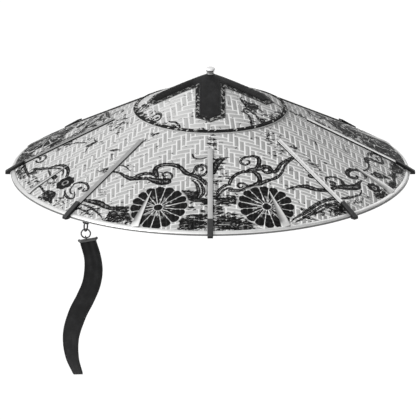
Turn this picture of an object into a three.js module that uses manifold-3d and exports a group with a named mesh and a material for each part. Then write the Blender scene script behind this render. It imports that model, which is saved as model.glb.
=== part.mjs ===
// A samurai hat: a low woven cone with a crown disc, a black cross, metal ribs, a bound rim and a
// hanging strap. Millimetres, +Z up, the front towards -Y. An azimuth is in degrees, 0 at the front
// and growing towards +X. Heights are above the lower edge of the rim.

import * as THREE from 'three';
import { mergeVertices } from 'three/addons/utils/BufferGeometryUtils.js';
import Module from 'manifold-3d';

const wasm = await Module();
wasm.setup();

// The clearance between neighbouring pieces
const GAP = 0.35;

// Outside of the woven cone: the profile bends a little at the crown and again near the rim
const CONE = [
  { r: 0, z: 123.8 },
  { r: 94, z: 78.1 },
  { r: 116, z: 67.1 },
  { r: 205, z: 21.8 },
  { r: 226, z: 11.0 },
  { r: 235, z: 5.4 },
];
const CONE_SIDES = 96;
const SHELL_THICKNESS = 2.25;

// The rim's binding
const RIM_RADIUS = 240;
const RIM_EDGE_HEIGHT = 2;
const RIM_SHOULDER = { r: 238, z: 3.9 };
const RIM_LIP_WIDTH = 4;
const RIM_LIP_THICKNESS = 2.2;

// The tongues that rise from the rim between the ribs: flat at one side, stepped at the other
const TONGUE = {
  tip: 184, base: 236.8, tipWidth: 0.8, width: 11.2, low: 0.5, tipHigh: 0.7, high: 2.4,
};

// Crown layers
const CROWN_SIDES = 64;
const DISC_RADIUS = 91;
const DISC_THICKNESS = 1.4;
const CROWN_RING = { width: 3.4, overhang: 1.4, height: 1.1, shoulder: 0.8 };
const CROSS = { halfWidth: 12.4, tip: 70, pointAngle: 25.8, thickness: 1.4 };
const TRIM = { width: 5, thickness: 0.9 };
const CROSS_BLANK_RADIUS = 84;

// The finial's profile, its heights above the cross at the apex
const FINIAL_SIDES = 24;
const FINIAL = [
  { r: 4.6, z: -1.9 },
  { r: 4.6, z: -0.9 },
  { r: 3.3, z: -0.3 },
  { r: 3.3, z: 0.9 },
  { r: 4.9, z: 1.2 },
  { r: 5.1, z: 1.9 },
  { r: 4.9, z: 2.6 },
  { r: 5.75, z: 2.9 },
  { r: 5.6, z: 4.1 },
  { r: 4.6, z: 5.3 },
  { r: 2.6, z: 6.1 },
];
const FINIAL_HEIGHT = 6.3;

// Ribs and their caps
const RIB_COUNT = 8;
const RIB = { start: 116, end: 223, width: 6.2, height: 2.5 };
const CAP = { end: 246.7, width: 6.8, innerHeight: 4.6, outerTop: 2.8, outerBottom: -0.7 };

// What hangs from the rim: a staple, a link in a radial plane, a ring that faces the front
const HANG = { azimuth: -39.4, radius: 234 };
const WIRE_SIDES = 6;
const LINK = { height: 13.5, width: 8, wire: 1.9, bottom: -14.0, steps: 12 };
const RING = { radius: 5.5, wire: 1.8, sides: 16 };
const STAPLE = { span: 8, wire: 1.8, top: 1.75, sides: 8 };

// The clamp on the strap's top end, with its right end up
const CLAMP = { length: 21, height: 3, depth: 4.2, tilt: 9.3 };
const CLAMP_BALL = { radius: 1.7, lift: 0.7, sides: 12, rows: 8 };
const CLAMP_LOOP = { radius: 2.1, wire: 1.5, sides: 12, offset: -2.1 };
const CLAMP_SLOT = { width: 20.3, depth: 2.3, height: 2.6 };

// The strap's middle line below the clamp, from the hanging point: x to the right, y to the back,
// z up; with its width and its turn about that line in degrees
const STRAP_THICKNESS = 1.6;
const STRAP_SECTIONS = 28;
const STRAP_STRAIGHT = 4;
const STRAP = [
  { x: 7.9, y: 0, z: -46, width: 20.4, turn: 0 },
  { x: 9.0, y: 2, z: -64, width: 22.2, turn: 0 },
  { x: 6.2, y: 4, z: -82, width: 22.3, turn: 2 },
  { x: -0.9, y: 5, z: -100, width: 22.3, turn: 5 },
  { x: -10.6, y: 4, z: -120, width: 22.3, turn: 13 },
  { x: -17.9, y: 1, z: -145, width: 22.3, turn: 29 },
  { x: -16.9, y: -3, z: -170, width: 22.2, turn: 42 },
  { x: -9.4, y: -6, z: -192, width: 22.0, turn: 55 },
];

// A head meets the inside of the cone on a circle of this radius, whose centre is the origin
const HEAD_CONTACT_RADIUS = 40;

// Points nearer than this are one point
const WELD_DISTANCE = 1e-4;

const radians = THREE.MathUtils.degToRad;

function material(color, roughness, metalness) {
  return new THREE.MeshStandardMaterial({ color, roughness, metalness });
}

const MATERIALS = {
  weave: material(0xb9b9b5, 0.7, 0),
  silver: material(0xd8d8d6, 0.35, 0.8),
  black: material(0x1e1e20, 0.55, 0),
  braid: material(0x3c3c3c, 0.7, 0),
  steel: material(0x56565a, 0.4, 0.9),
  pearl: material(0xe2e2e0, 0.25, 0.6),
};

const hat = new THREE.Group();

function addPiece(name, geometry, surface) {
  const mesh = new THREE.Mesh(geometry, surface);
  mesh.name = name;
  hat.add(mesh);
  return mesh;
}

// The height of the cone's outside at a radius
function coneZ(r) {
  const upper = CONE.findIndex((row) => row.r >= r);
  if (upper <= 0) return upper === 0 ? CONE[0].z : CONE.at(-1).z;
  const [a, b] = [CONE[upper - 1], CONE[upper]];
  return a.z + ((r - a.r) * (b.z - a.z)) / (b.r - a.r);
}

// The crown's straight slope, which its layers share
function crownZ(r) {
  return CONE[0].z + (r * (CONE[1].z - CONE[0].z)) / CONE[1].r;
}

// A solid of revolution about Z; its profile runs upwards on the outside
function lathe(profile, sides) {
  const points = profile.map(([r, z]) => new THREE.Vector2(r, z));
  return new THREE.LatheGeometry(points, sides).rotateX(Math.PI / 2);
}

function indexedGeometry(positions, index) {
  const geometry = new THREE.BufferGeometry();
  geometry.setAttribute('position', new THREE.Float32BufferAttribute(positions, 3));
  geometry.setIndex(index);
  return geometry;
}

// A closed solid through loops of equal point count; a closed run of loops needs no end faces
function loft(loops, closed = false) {
  const count = loops[0].length;
  const index = [];
  const last = closed ? loops.length : loops.length - 1;
  for (let s = 0; s < last; s++) {
    const here = s * count;
    const next = ((s + 1) % loops.length) * count;
    for (let k = 0; k < count; k++) {
      const m = (k + 1) % count;
      index.push(here + k, here + m, next + k, here + m, next + m, next + k);
    }
  }
  if (!closed) {
    const end = (loops.length - 1) * count;
    for (let k = 1; k < count - 1; k++) index.push(0, k + 1, k, end, end + k, end + k + 1);
  }
  return indexedGeometry(loops.flat().flatMap((p) => p.toArray()), index);
}

// A bar whose side outline lies in a radial plane: points are [radius, height], the bar faces the front
function radialBar(outline, width) {
  const shape = new THREE.Shape(outline.map(([r, z]) => new THREE.Vector2(r, z)));
  const geometry = new THREE.ExtrudeGeometry(shape, { depth: width, bevelEnabled: false });
  const outward = new THREE.Vector3(0, -1, 0);
  const up = new THREE.Vector3(0, 0, 1);
  const across = new THREE.Vector3(-1, 0, 0);
  geometry.translate(0, 0, -width / 2);
  return geometry.applyMatrix4(new THREE.Matrix4().makeBasis(outward, up, across));
}

// A solid for joining and cutting, its corners welded
function solidOf(geometry) {
  const bare = geometry.clone();
  bare.deleteAttribute('normal');
  bare.deleteAttribute('uv');
  const merged = mergeVertices(bare, WELD_DISTANCE);
  const source = merged.index.array;
  const kept = [];
  for (let i = 0; i < source.length; i += 3) {
    const [a, b, c] = [source[i], source[i + 1], source[i + 2]];
    if (a !== b && b !== c && c !== a) kept.push(a, b, c);
  }
  const vertProperties = new Float32Array(merged.attributes.position.array);
  const triVerts = new Uint32Array(kept);
  return new wasm.Manifold(new wasm.Mesh({ numProp: 3, vertProperties, triVerts }));
}

function geometryOf(solid) {
  const { vertProperties, triVerts } = solid.getMesh();
  return indexedGeometry(vertProperties, Array.from(triVerts));
}

// The woven cone, open underneath
function wovenShell() {
  const outside = CONE.map(({ r, z }) => [r, z]).reverse();
  const inside = CONE.map(({ r, z }) => [r, z - SHELL_THICKNESS]);
  return lathe([...inside, ...outside], CONE_SIDES);
}

// One tongue, built at the front: a tapering wedge that climbs from its flat side to its step
function tongue() {
  const stations = [TONGUE.tip, CONE[3].r, CONE[4].r, CONE[5].r, TONGUE.base];
  const loops = stations.map((r) => {
    const t = (r - TONGUE.tip) / (TONGUE.base - TONGUE.tip);
    const half = THREE.MathUtils.lerp(TONGUE.tipWidth, TONGUE.width, t) / 2;
    const high = THREE.MathUtils.lerp(TONGUE.tipHigh, TONGUE.high, t);
    const floor = (r <= CONE[5].r ? coneZ(r) : RIM_SHOULDER.z - TONGUE.low) + GAP;
    return [
      new THREE.Vector3(-half, -r, floor),
      new THREE.Vector3(half, -r, floor),
      new THREE.Vector3(half, -r, floor + high),
      new THREE.Vector3(-half, -r, floor + TONGUE.low),
    ];
  });
  return loft(loops);
}

// The rim's binding: a ring over the edge of the cone, with a lip under it, and its tongues
function rimBand() {
  const seat = CONE.at(-1);
  const lipInner = seat.r - RIM_LIP_WIDTH;
  const lipTop = (r) => coneZ(r) - SHELL_THICKNESS - GAP;
  const profile = [
    [lipInner, lipTop(lipInner) - RIM_LIP_THICKNESS],
    [RIM_RADIUS, 0],
    [RIM_RADIUS, RIM_EDGE_HEIGHT],
    [RIM_SHOULDER.r, RIM_SHOULDER.z],
    [seat.r + GAP, seat.z - GAP],
    [seat.r + GAP, lipTop(seat.r) - GAP / 2],
    [lipInner, lipTop(lipInner)],
  ];
  let band = solidOf(lathe([...profile, profile[0]], CONE_SIDES));
  for (let k = 0; k < RIB_COUNT; k++) {
    const turn = ((k + 0.5) * 2 * Math.PI) / RIB_COUNT;
    band = band.add(solidOf(tongue().rotateZ(turn)));
  }
  return geometryOf(band);
}

// The top of the crown disc, and the solids that lie on it
const discTop = (r) => crownZ(r) + GAP + DISC_THICKNESS;

function crownDisc() {
  const under = (r) => crownZ(r) + GAP;
  return lathe([[0, under(0)], [DISC_RADIUS, under(DISC_RADIUS)], [DISC_RADIUS, discTop(DISC_RADIUS)],
    [0, discTop(0)]], CROWN_SIDES);
}

function crownRing() {
  const inner = DISC_RADIUS + GAP - CROWN_RING.width;
  const outer = DISC_RADIUS + CROWN_RING.overhang;
  const profile = [
    [DISC_RADIUS + GAP, crownZ(DISC_RADIUS + GAP) + GAP],
    [outer, crownZ(outer) + GAP],
    [outer, discTop(outer) + GAP],
    [outer - CROWN_RING.shoulder, discTop(outer - CROWN_RING.shoulder) + GAP + CROWN_RING.height],
    [inner + CROWN_RING.shoulder, discTop(inner + CROWN_RING.shoulder) + GAP + CROWN_RING.height],
    [inner, discTop(inner) + GAP],
    [DISC_RADIUS + GAP, discTop(DISC_RADIUS + GAP) + GAP],
  ];
  return lathe([...profile, profile[0]], CROWN_SIDES);
}

// A conical layer over the disc, as thick as asked
function crownLayer(thickness) {
  const apex = discTop(0) + GAP;
  const edge = discTop(CROSS_BLANK_RADIUS) + GAP;
  return solidOf(lathe([[0, apex], [CROSS_BLANK_RADIUS, edge], [CROSS_BLANK_RADIUS, edge + thickness],
    [0, apex + thickness]], CROWN_SIDES));
}

// An upright prism over the cross's outline, grown on every side by an offset
function crossPrism(offset) {
  const slope = Math.tan(radians(CROSS.pointAngle));
  const half = CROSS.halfWidth + offset;
  const tip = CROSS.tip + offset / Math.cos(radians(CROSS.pointAngle));
  const shoulder = tip - half * slope;
  const arm = [[half, -half], [half, -shoulder], [0, -tip], [-half, -shoulder]];
  const outline = [];
  for (let k = 3; k >= 0; k--) {
    const centre = new THREE.Vector2();
    for (const [x, y] of arm) outline.push(new THREE.Vector2(x, y).rotateAround(centre, (k * Math.PI) / 2));
  }
  const depth = 2 * CONE[0].z;
  return solidOf(new THREE.ExtrudeGeometry(new THREE.Shape(outline), { depth, bevelEnabled: false }));
}

function crossStrap() {
  return geometryOf(crownLayer(CROSS.thickness).intersect(crossPrism(0)));
}

function crossTrim() {
  const frame = crossPrism(GAP + TRIM.width).subtract(crossPrism(GAP));
  return geometryOf(crownLayer(TRIM.thickness).intersect(frame));
}

function finial() {
  const apex = discTop(0) + GAP + CROSS.thickness;
  const rows = FINIAL.map(({ r, z }) => [r, apex + z + GAP]);
  return lathe([[0, apex + GAP], ...rows, [0, apex + FINIAL_HEIGHT]], FINIAL_SIDES);
}

function rib() {
  const stations = [RIB.start, CONE[3].r, RIB.end];
  const under = stations.map((r) => [r, coneZ(r) + GAP]);
  const over = stations.map((r) => [r, coneZ(r) + RIB.height]).reverse();
  return radialBar([...under, ...over], RIB.width);
}

// A cap lies over the rib's end and the rim, and hooks down outside the rim's edge
function ribCap() {
  const start = RIB.end + GAP;
  const edge = RIM_RADIUS + GAP;
  return radialBar([
    [start, coneZ(start) + GAP],
    [CONE[4].r, coneZ(CONE[4].r) + GAP],
    [CONE[5].r, CONE[5].z + GAP],
    [RIM_SHOULDER.r, RIM_SHOULDER.z + GAP],
    [edge, RIM_EDGE_HEIGHT + GAP],
    [edge, CAP.outerBottom],
    [CAP.end, CAP.outerBottom],
    [CAP.end, CAP.outerTop],
    [start, coneZ(start) + CAP.innerHeight],
  ], CAP.width);
}

// Round sections of a wire round a centre line given by a function of t in 0..1
function wireLoops(point, steps, radius, sideways) {
  const loops = [];
  for (let s = 0; s < steps; s++) {
    const { position, outward } = point(s / steps);
    const loop = [];
    for (let k = 0; k < WIRE_SIDES; k++) {
      const a = (k * 2 * Math.PI) / WIRE_SIDES;
      loop.push(position.clone()
        .addScaledVector(outward, radius * Math.cos(a))
        .addScaledVector(sideways, radius * Math.sin(a)));
    }
    loops.push(loop);
  }
  return loops;
}

// The oval link in the YZ plane, about its own centre
function link() {
  const radius = (LINK.width - LINK.wire) / 2;
  const straight = (LINK.height - LINK.width) / 2;
  const point = (t) => {
    const a = (t + 0.5 / (2 * LINK.steps)) * 2 * Math.PI;
    const outward = new THREE.Vector3(0, Math.cos(a), Math.sin(a));
    const position = outward.clone().multiplyScalar(radius);
    position.z += Math.sign(Math.sin(a)) * straight;
    return { position, outward };
  };
  return loft(wireLoops(point, 2 * LINK.steps, LINK.wire / 2, new THREE.Vector3(-1, 0, 0)), true);
}

// A plain bent wire: its bar lies along X under the rim, its legs reach up to the rim's lip
function staple(barZ) {
  const half = STAPLE.span / 2;
  const corners = [[-half, STAPLE.top], [-half, barZ], [half, barZ], [half, STAPLE.top]];
  const bars = [];
  for (let k = 0; k < 3; k++) {
    const [a, b] = [corners[k], corners[k + 1]].map(([x, z]) => new THREE.Vector3(x, 0, z));
    bars.push(stapleWire(a, b, k === 1 ? STAPLE.wire / 2 : 0));
  }
  return geometryOf(bars[0].add(bars[1]).add(bars[2]));
}

// A straight length of the staple's wire from a to b, made longer by extra at both ends
function stapleWire(a, b, extra) {
  const along = b.clone().sub(a);
  const length = along.length() + 2 * extra;
  const geometry = new THREE.CylinderGeometry(STAPLE.wire / 2, STAPLE.wire / 2, length, STAPLE.sides);
  const turn = new THREE.Quaternion().setFromUnitVectors(new THREE.Vector3(0, 1, 0), along.normalize());
  const middle = a.clone().add(b).multiplyScalar(0.5);
  return solidOf(geometry.applyQuaternion(turn).translate(middle.x, middle.y, middle.z));
}

// The clamp about the middle of its bar: a bar with ball ends, a slot for the strap and a loop
function strapClamp() {
  let clamp = solidOf(new THREE.BoxGeometry(CLAMP.length, CLAMP.depth, CLAMP.height));
  for (const side of [-1, 1]) {
    const ball = new THREE.SphereGeometry(CLAMP_BALL.radius, CLAMP_BALL.sides, CLAMP_BALL.rows);
    ball.translate((side * CLAMP.length) / 2, 0, CLAMP_BALL.lift);
    clamp = clamp.add(solidOf(ball));
  }
  const { radius, wire, sides } = CLAMP_LOOP;
  const loop = new THREE.TorusGeometry(radius, wire / 2, WIRE_SIDES, sides);
  loop.rotateY(Math.PI / 2).translate(CLAMP_LOOP.offset, 0, clampLoopZ);
  const slot = new THREE.BoxGeometry(CLAMP_SLOT.width, CLAMP_SLOT.depth, CLAMP_SLOT.height);
  slot.translate(0, 0, (CLAMP_SLOT.height - CLAMP.height) / 2 - GAP);
  return geometryOf(clamp.add(solidOf(loop)).subtract(solidOf(slot)));
}

// The strap, swept through its table from a straight start inside the clamp
function hangingStrap(clampCentre, clampUp) {
  const top = CLAMP_SLOT.height - CLAMP.height / 2 - 2 * GAP;
  const start = [top, -STRAP_STRAIGHT].map((distance) => {
    const { x, y, z } = clampCentre.clone().addScaledVector(clampUp, distance);
    return { x, y, z, width: CLAMP_SLOT.width - 2 * GAP, turn: 0 };
  });
  const rows = [...start, ...STRAP];
  const points = rows.map(({ x, y, z }) => new THREE.Vector3(x, y, z));
  const curve = new THREE.CatmullRomCurve3(points, false, 'centripetal');
  const valueAt = (key, t) => {
    const at = t * (rows.length - 1);
    const k = Math.min(Math.floor(at), rows.length - 2);
    return THREE.MathUtils.lerp(rows[k][key], rows[k + 1][key], at - k);
  };
  const loops = [];
  for (let s = 0; s <= STRAP_SECTIONS; s++) {
    const t = curve.getUtoTmapping(s / STRAP_SECTIONS);
    const middle = curve.getPoint(t);
    const along = curve.getTangent(t);
    const across = new THREE.Vector3(0, 1, 0).cross(along).normalize();
    across.applyAxisAngle(along, radians(valueAt('turn', t)));
    const through = along.clone().cross(across).multiplyScalar(STRAP_THICKNESS / 2);
    across.multiplyScalar(valueAt('width', t) / 2);
    const corner = (u, v) => middle.clone().addScaledVector(across, u).addScaledVector(through, v);
    loops.push([corner(-1, -1), corner(1, -1), corner(1, 1), corner(-1, 1)]);
  }
  return loft(loops);
}

// Heights of the hanging pieces' centres, each hung in the one above it
const linkZ = LINK.bottom + LINK.height / 2;
const stapleZ = LINK.bottom + LINK.height - LINK.wire - GAP - STAPLE.wire / 2;
const ringZ = LINK.bottom + LINK.wire + GAP + RING.wire / 2 - RING.radius;
const clampLoopZ = CLAMP.height / 2 + CLAMP_LOOP.radius - CLAMP_LOOP.wire / 2;
const loopHole = CLAMP_LOOP.radius - CLAMP_LOOP.wire / 2;
const loopCentreZ = ringZ - RING.radius + RING.wire / 2 + GAP - loopHole;

addPiece('woven_shell', wovenShell(), MATERIALS.weave);
addPiece('crown_disc', crownDisc(), MATERIALS.weave);
addPiece('crown_ring', crownRing(), MATERIALS.black);
addPiece('cross_strap', crossStrap(), MATERIALS.black);
addPiece('cross_trim', crossTrim(), MATERIALS.braid);
addPiece('finial', finial(), MATERIALS.pearl);
addPiece('rim_band', rimBand(), MATERIALS.silver);
for (let k = 0; k < RIB_COUNT; k++) {
  const turn = (k * 2 * Math.PI) / RIB_COUNT;
  addPiece(`rib_${k + 1}`, rib(), MATERIALS.silver).rotation.z = turn;
  addPiece(`rib_cap_${k + 1}`, ribCap(), MATERIALS.black).rotation.z = turn;
}

const hangX = HANG.radius * Math.sin(radians(HANG.azimuth));
const hangY = -HANG.radius * Math.cos(radians(HANG.azimuth));

const stapleMesh = addPiece('link_staple', staple(stapleZ), MATERIALS.steel);
stapleMesh.position.set(hangX, hangY, 0);
stapleMesh.rotation.z = radians(HANG.azimuth);

const linkMesh = addPiece('hanging_link', link(), MATERIALS.steel);
linkMesh.position.set(hangX, hangY, linkZ);
linkMesh.rotation.z = radians(HANG.azimuth);

const ring = new THREE.TorusGeometry(RING.radius, RING.wire / 2, WIRE_SIDES, RING.sides);
ring.rotateX(Math.PI / 2);
addPiece('hanging_ring', ring, MATERIALS.steel).position.set(hangX, hangY, ringZ);

// The clamp's bar centre, found from its loop, which hangs on the ring
const clampTurn = new THREE.Euler(0, -radians(CLAMP.tilt), 0);
const loopArm = new THREE.Vector3(CLAMP_LOOP.offset, 0, clampLoopZ).applyEuler(clampTurn);
const clampCentre = new THREE.Vector3(0, 0, loopCentreZ).sub(loopArm);
const clampMesh = addPiece('strap_clamp', strapClamp(), MATERIALS.steel);
clampMesh.position.set(hangX, hangY, 0).add(clampCentre);
clampMesh.rotation.copy(clampTurn);

const clampUp = new THREE.Vector3(0, 0, 1).applyEuler(clampTurn);
const strapMesh = addPiece('hanging_strap', hangingStrap(clampCentre, clampUp), MATERIALS.black);
strapMesh.position.set(hangX, hangY, 0);

hat.position.z = SHELL_THICKNESS - coneZ(HEAD_CONTACT_RADIUS);

export default hat;
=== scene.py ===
"""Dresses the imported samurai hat: woven cone and crown disc, lacquer print, metal ribs and rim, black
cross with its braid, finial and hanging strap, on a pale stage.

Tables are in millimetres, heights above the rim's lower edge, azimuths in degrees from the front
towards +X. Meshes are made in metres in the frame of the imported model.
"""

import math

import bpy
import numpy as np
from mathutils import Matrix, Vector


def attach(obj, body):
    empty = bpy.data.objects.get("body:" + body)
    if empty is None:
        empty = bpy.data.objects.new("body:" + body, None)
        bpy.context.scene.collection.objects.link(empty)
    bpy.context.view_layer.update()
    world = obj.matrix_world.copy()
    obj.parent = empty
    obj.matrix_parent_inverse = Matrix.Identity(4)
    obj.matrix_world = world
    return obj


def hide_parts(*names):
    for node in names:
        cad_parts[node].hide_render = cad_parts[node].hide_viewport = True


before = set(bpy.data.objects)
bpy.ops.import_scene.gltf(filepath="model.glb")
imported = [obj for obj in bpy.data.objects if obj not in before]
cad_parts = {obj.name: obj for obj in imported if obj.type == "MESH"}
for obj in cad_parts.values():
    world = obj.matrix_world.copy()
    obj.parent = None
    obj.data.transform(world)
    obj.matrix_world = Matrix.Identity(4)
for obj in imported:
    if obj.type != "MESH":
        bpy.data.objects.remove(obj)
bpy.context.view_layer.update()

bl_info = {
    "name": "Samurai Hat",
    "version": (1, 0, 0),
    "blender": (4, 5, 0),
    "location": "3D View > Sidebar > Samurai Hat",
    "description": "Dresses a woven conical hat with lacquer print, metal ribs and a hanging strap",
    "category": "Object",
}

MM = 0.001
SEAT_HEIGHT = 102.1032  # the origin's height above the rim's lower edge
GAP = 0.35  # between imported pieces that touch

# Outside of the woven cone
CONE_RADII = (0, 94, 116, 205, 226, 235)
CONE_HEIGHTS = (123.8, 78.1, 67.1, 21.8, 11.0, 5.4)
CONE_BAND = (86, 234.9)  # the radii that the woven relief runs between
CONE_LAYER = 2.15
DISC_RADIUS = 91
DISC_BAND = (0, 90.8)
DISC_THICKNESS = 1.4
CROWN_SLOPE = (CONE_HEIGHTS[0] - CONE_HEIGHTS[1]) / CONE_RADII[1]
ROUND_SIDES = 192  # faces round the axis on turned parts and under the weave

# The weave seen from above, from one azimuth to another. Along is (|x| + lean y - start) / cell for the
# strips that lie flat, up is (y + fall |x| - start) / cell for the upright ones; phase shifts the steps.
CONE_WEAVE = [
    {"from": -45, "to": 0, "along": (5.568, 0.011, 0.299), "up": (5.811, 0.076, 0.109), "phase": 4},
    {"from": 0, "to": 45, "along": (6.44, 0.033, -1.131), "up": (5.231, 0.082, -0.852), "phase": 1},
    {"from": -180, "to": -45, "along": (5.308, 0.06, -0.784), "up": (6.255, 0.002, -0.026), "phase": 4},
    {"from": 45, "to": 180, "along": (5.887, 0.095, 0.545), "up": (5.443, -0.005, -0.798), "phase": 2},
]
DISC_WEAVE = [
    {"from": -180, "to": 0, "along": (6.663, -0.069, 3.888), "up": (6.221, -0.006, -1.995), "phase": 0},
    {"from": 0, "to": 180, "along": (6.227, 0.121, 1.962), "up": (6.121, -0.115, -0.929), "phase": 3},
]
FLOAT_CELLS = 3  # a strip lies on top for this many cells
CELL_STEPS = (0.0, 0.16, 0.5, 0.84)
SEAM = 0.15  # half the width of the rows of faces between the weave's sectors

# Chrysanthemum wheels and small blossoms: azimuth, radius, size, and 1 for a blossom
WHEELS = [(-17.6, 205.5, 35, 0), (19.2, 205, 34.5, 0)]
BLOSSOMS = [
    (-58.6, 203.5, 12.2, 1), (63.2, 220, 9.5, 1), (72.2, 211.5, 7.4, 1), (43.6, 174, 4, 1),
    (-50.5, 202, 3.2, 1), (49.6, 190.5, 3, 1)
]
PETALS = 16
UNIT_TURN = 91  # the print's front units come again past the side ribs, turned by this

# Dense fields of the print: azimuth, radius, half width in degrees, half height, density
FIELDS = [
    (-29, 224, 4, 12, 1.05), (-5, 225, 4.6, 11.5, 1.05), (-22, 229, 4, 7, 0.9), (-2, 205, 1.5, 32, 0.62),
    (-40, 226, 6, 8, 0.5), (-6.5, 201, 2.5, 8, 0.5), (-5.5, 190.5, 4.5, 3.4, 0.95),
    (-7.8, 182, 3.8, 5, 1.0), (-7, 127, 3, 5, 0.35), (-39, 156, 5, 5, 0.28), (5.7, 225, 5.4, 12, 1.05),
    (5.2, 191, 4.6, 9, 0.95), (2.4, 206, 2, 10, 0.9), (8.8, 190, 1.8, 8, 0.85), (34, 225, 7, 9, 0.52),
    (41.8, 225, 3.2, 10, 1.05), (2.6, 160, 1.8, 30, 0.55), (3.4, 136, 3, 11, 0.56),
    (6.5, 156, 3.5, 6, 0.36), (43, 122, 4, 5, 0.42), (1, 102, 2.4, 11, 0.68), (4, 112, 2.6, 8, 0.46),
    (42, 108, 6, 10, 0.47), (38, 130, 6, 5, 0.46), (-41, 102, 3, 4, 0.56), (-43, 115, 2.4, 5, 0.48),
    (-84, 229, 6, 6.5, 0.82), (-73, 224, 6, 9, 0.5), (-58.6, 229, 3.6, 7, 0.85), (-52, 226, 5, 9, 0.45),
    (-65, 211, 5, 8, 0.45), (-87, 168, 3, 10, 0.4), (-73.6, 148, 1.5, 6.5, 1.05),
    (-78, 217, 2.4, 4, 0.75), (-49, 168.5, 2, 4.5, 0.66), (-76, 117, 5, 3, 0.4), (-71, 141, 5, 3, 0.32),
    (-60, 127, 5, 4, 0.25), (-59, 174, 2, 2.5, 0.45), (50, 130.5, 2.2, 5, 0.72),
    (49.5, 111, 3.5, 5, 0.46), (50.5, 160, 2.6, 18, 0.42), (71.3, 229.5, 2.6, 5, 1.0),
    (78.5, 224, 2.4, 4.5, 1.0), (85.5, 226, 4.6, 9, 0.95), (52, 227, 6, 7, 0.45), (63, 230, 3.4, 6, 0.95),
    (74, 214, 3, 8, 0.5), (76, 167, 4, 3, 0.4), (83, 163, 4, 4, 0.35), (112, 194, 9, 24, 0.64),
    (98.5, 228, 4, 6, 0.6), (101, 211, 6, 9, 0.95), (103, 170, 4, 12, 0.9), (98, 150, 4, 8, 0.45),
    (-103, 229, 5, 7, 1.0), (-104, 145, 10, 24, 0.55), (-116, 204, 9, 24, 0.62), (-105, 122, 9, 12, 0.45),
    (-79, 112, 12, 12, 0.53), (-87.5, 176, 3, 14, 0.56), (-80, 150, 5, 6, 0.38), (-97, 180, 3, 8, 0.4),
    (11, 227, 4, 8, 0.95)
]
# The same on the crown disc
DISC_FIELDS = [
    (52, 64, 9, 10, 0.5), (38, 83, 4, 8, 0.6), (70, 86, 16, 4.5, 0.62), (-72, 86.5, 20, 4, 0.68),
    (-82, 80, 9, 9, 0.62), (-60, 78, 9, 8, 0.42), (-88, 62, 9, 12, 0.57), (-33, 86, 9, 4, 0.5),
    (-5.5, 85, 2, 4, 0.55), (56, 73, 5, 5, 0.5), (26, 81, 2, 2, 0.5), (0, 91, 60, 2.5, 0.5)
]

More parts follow.
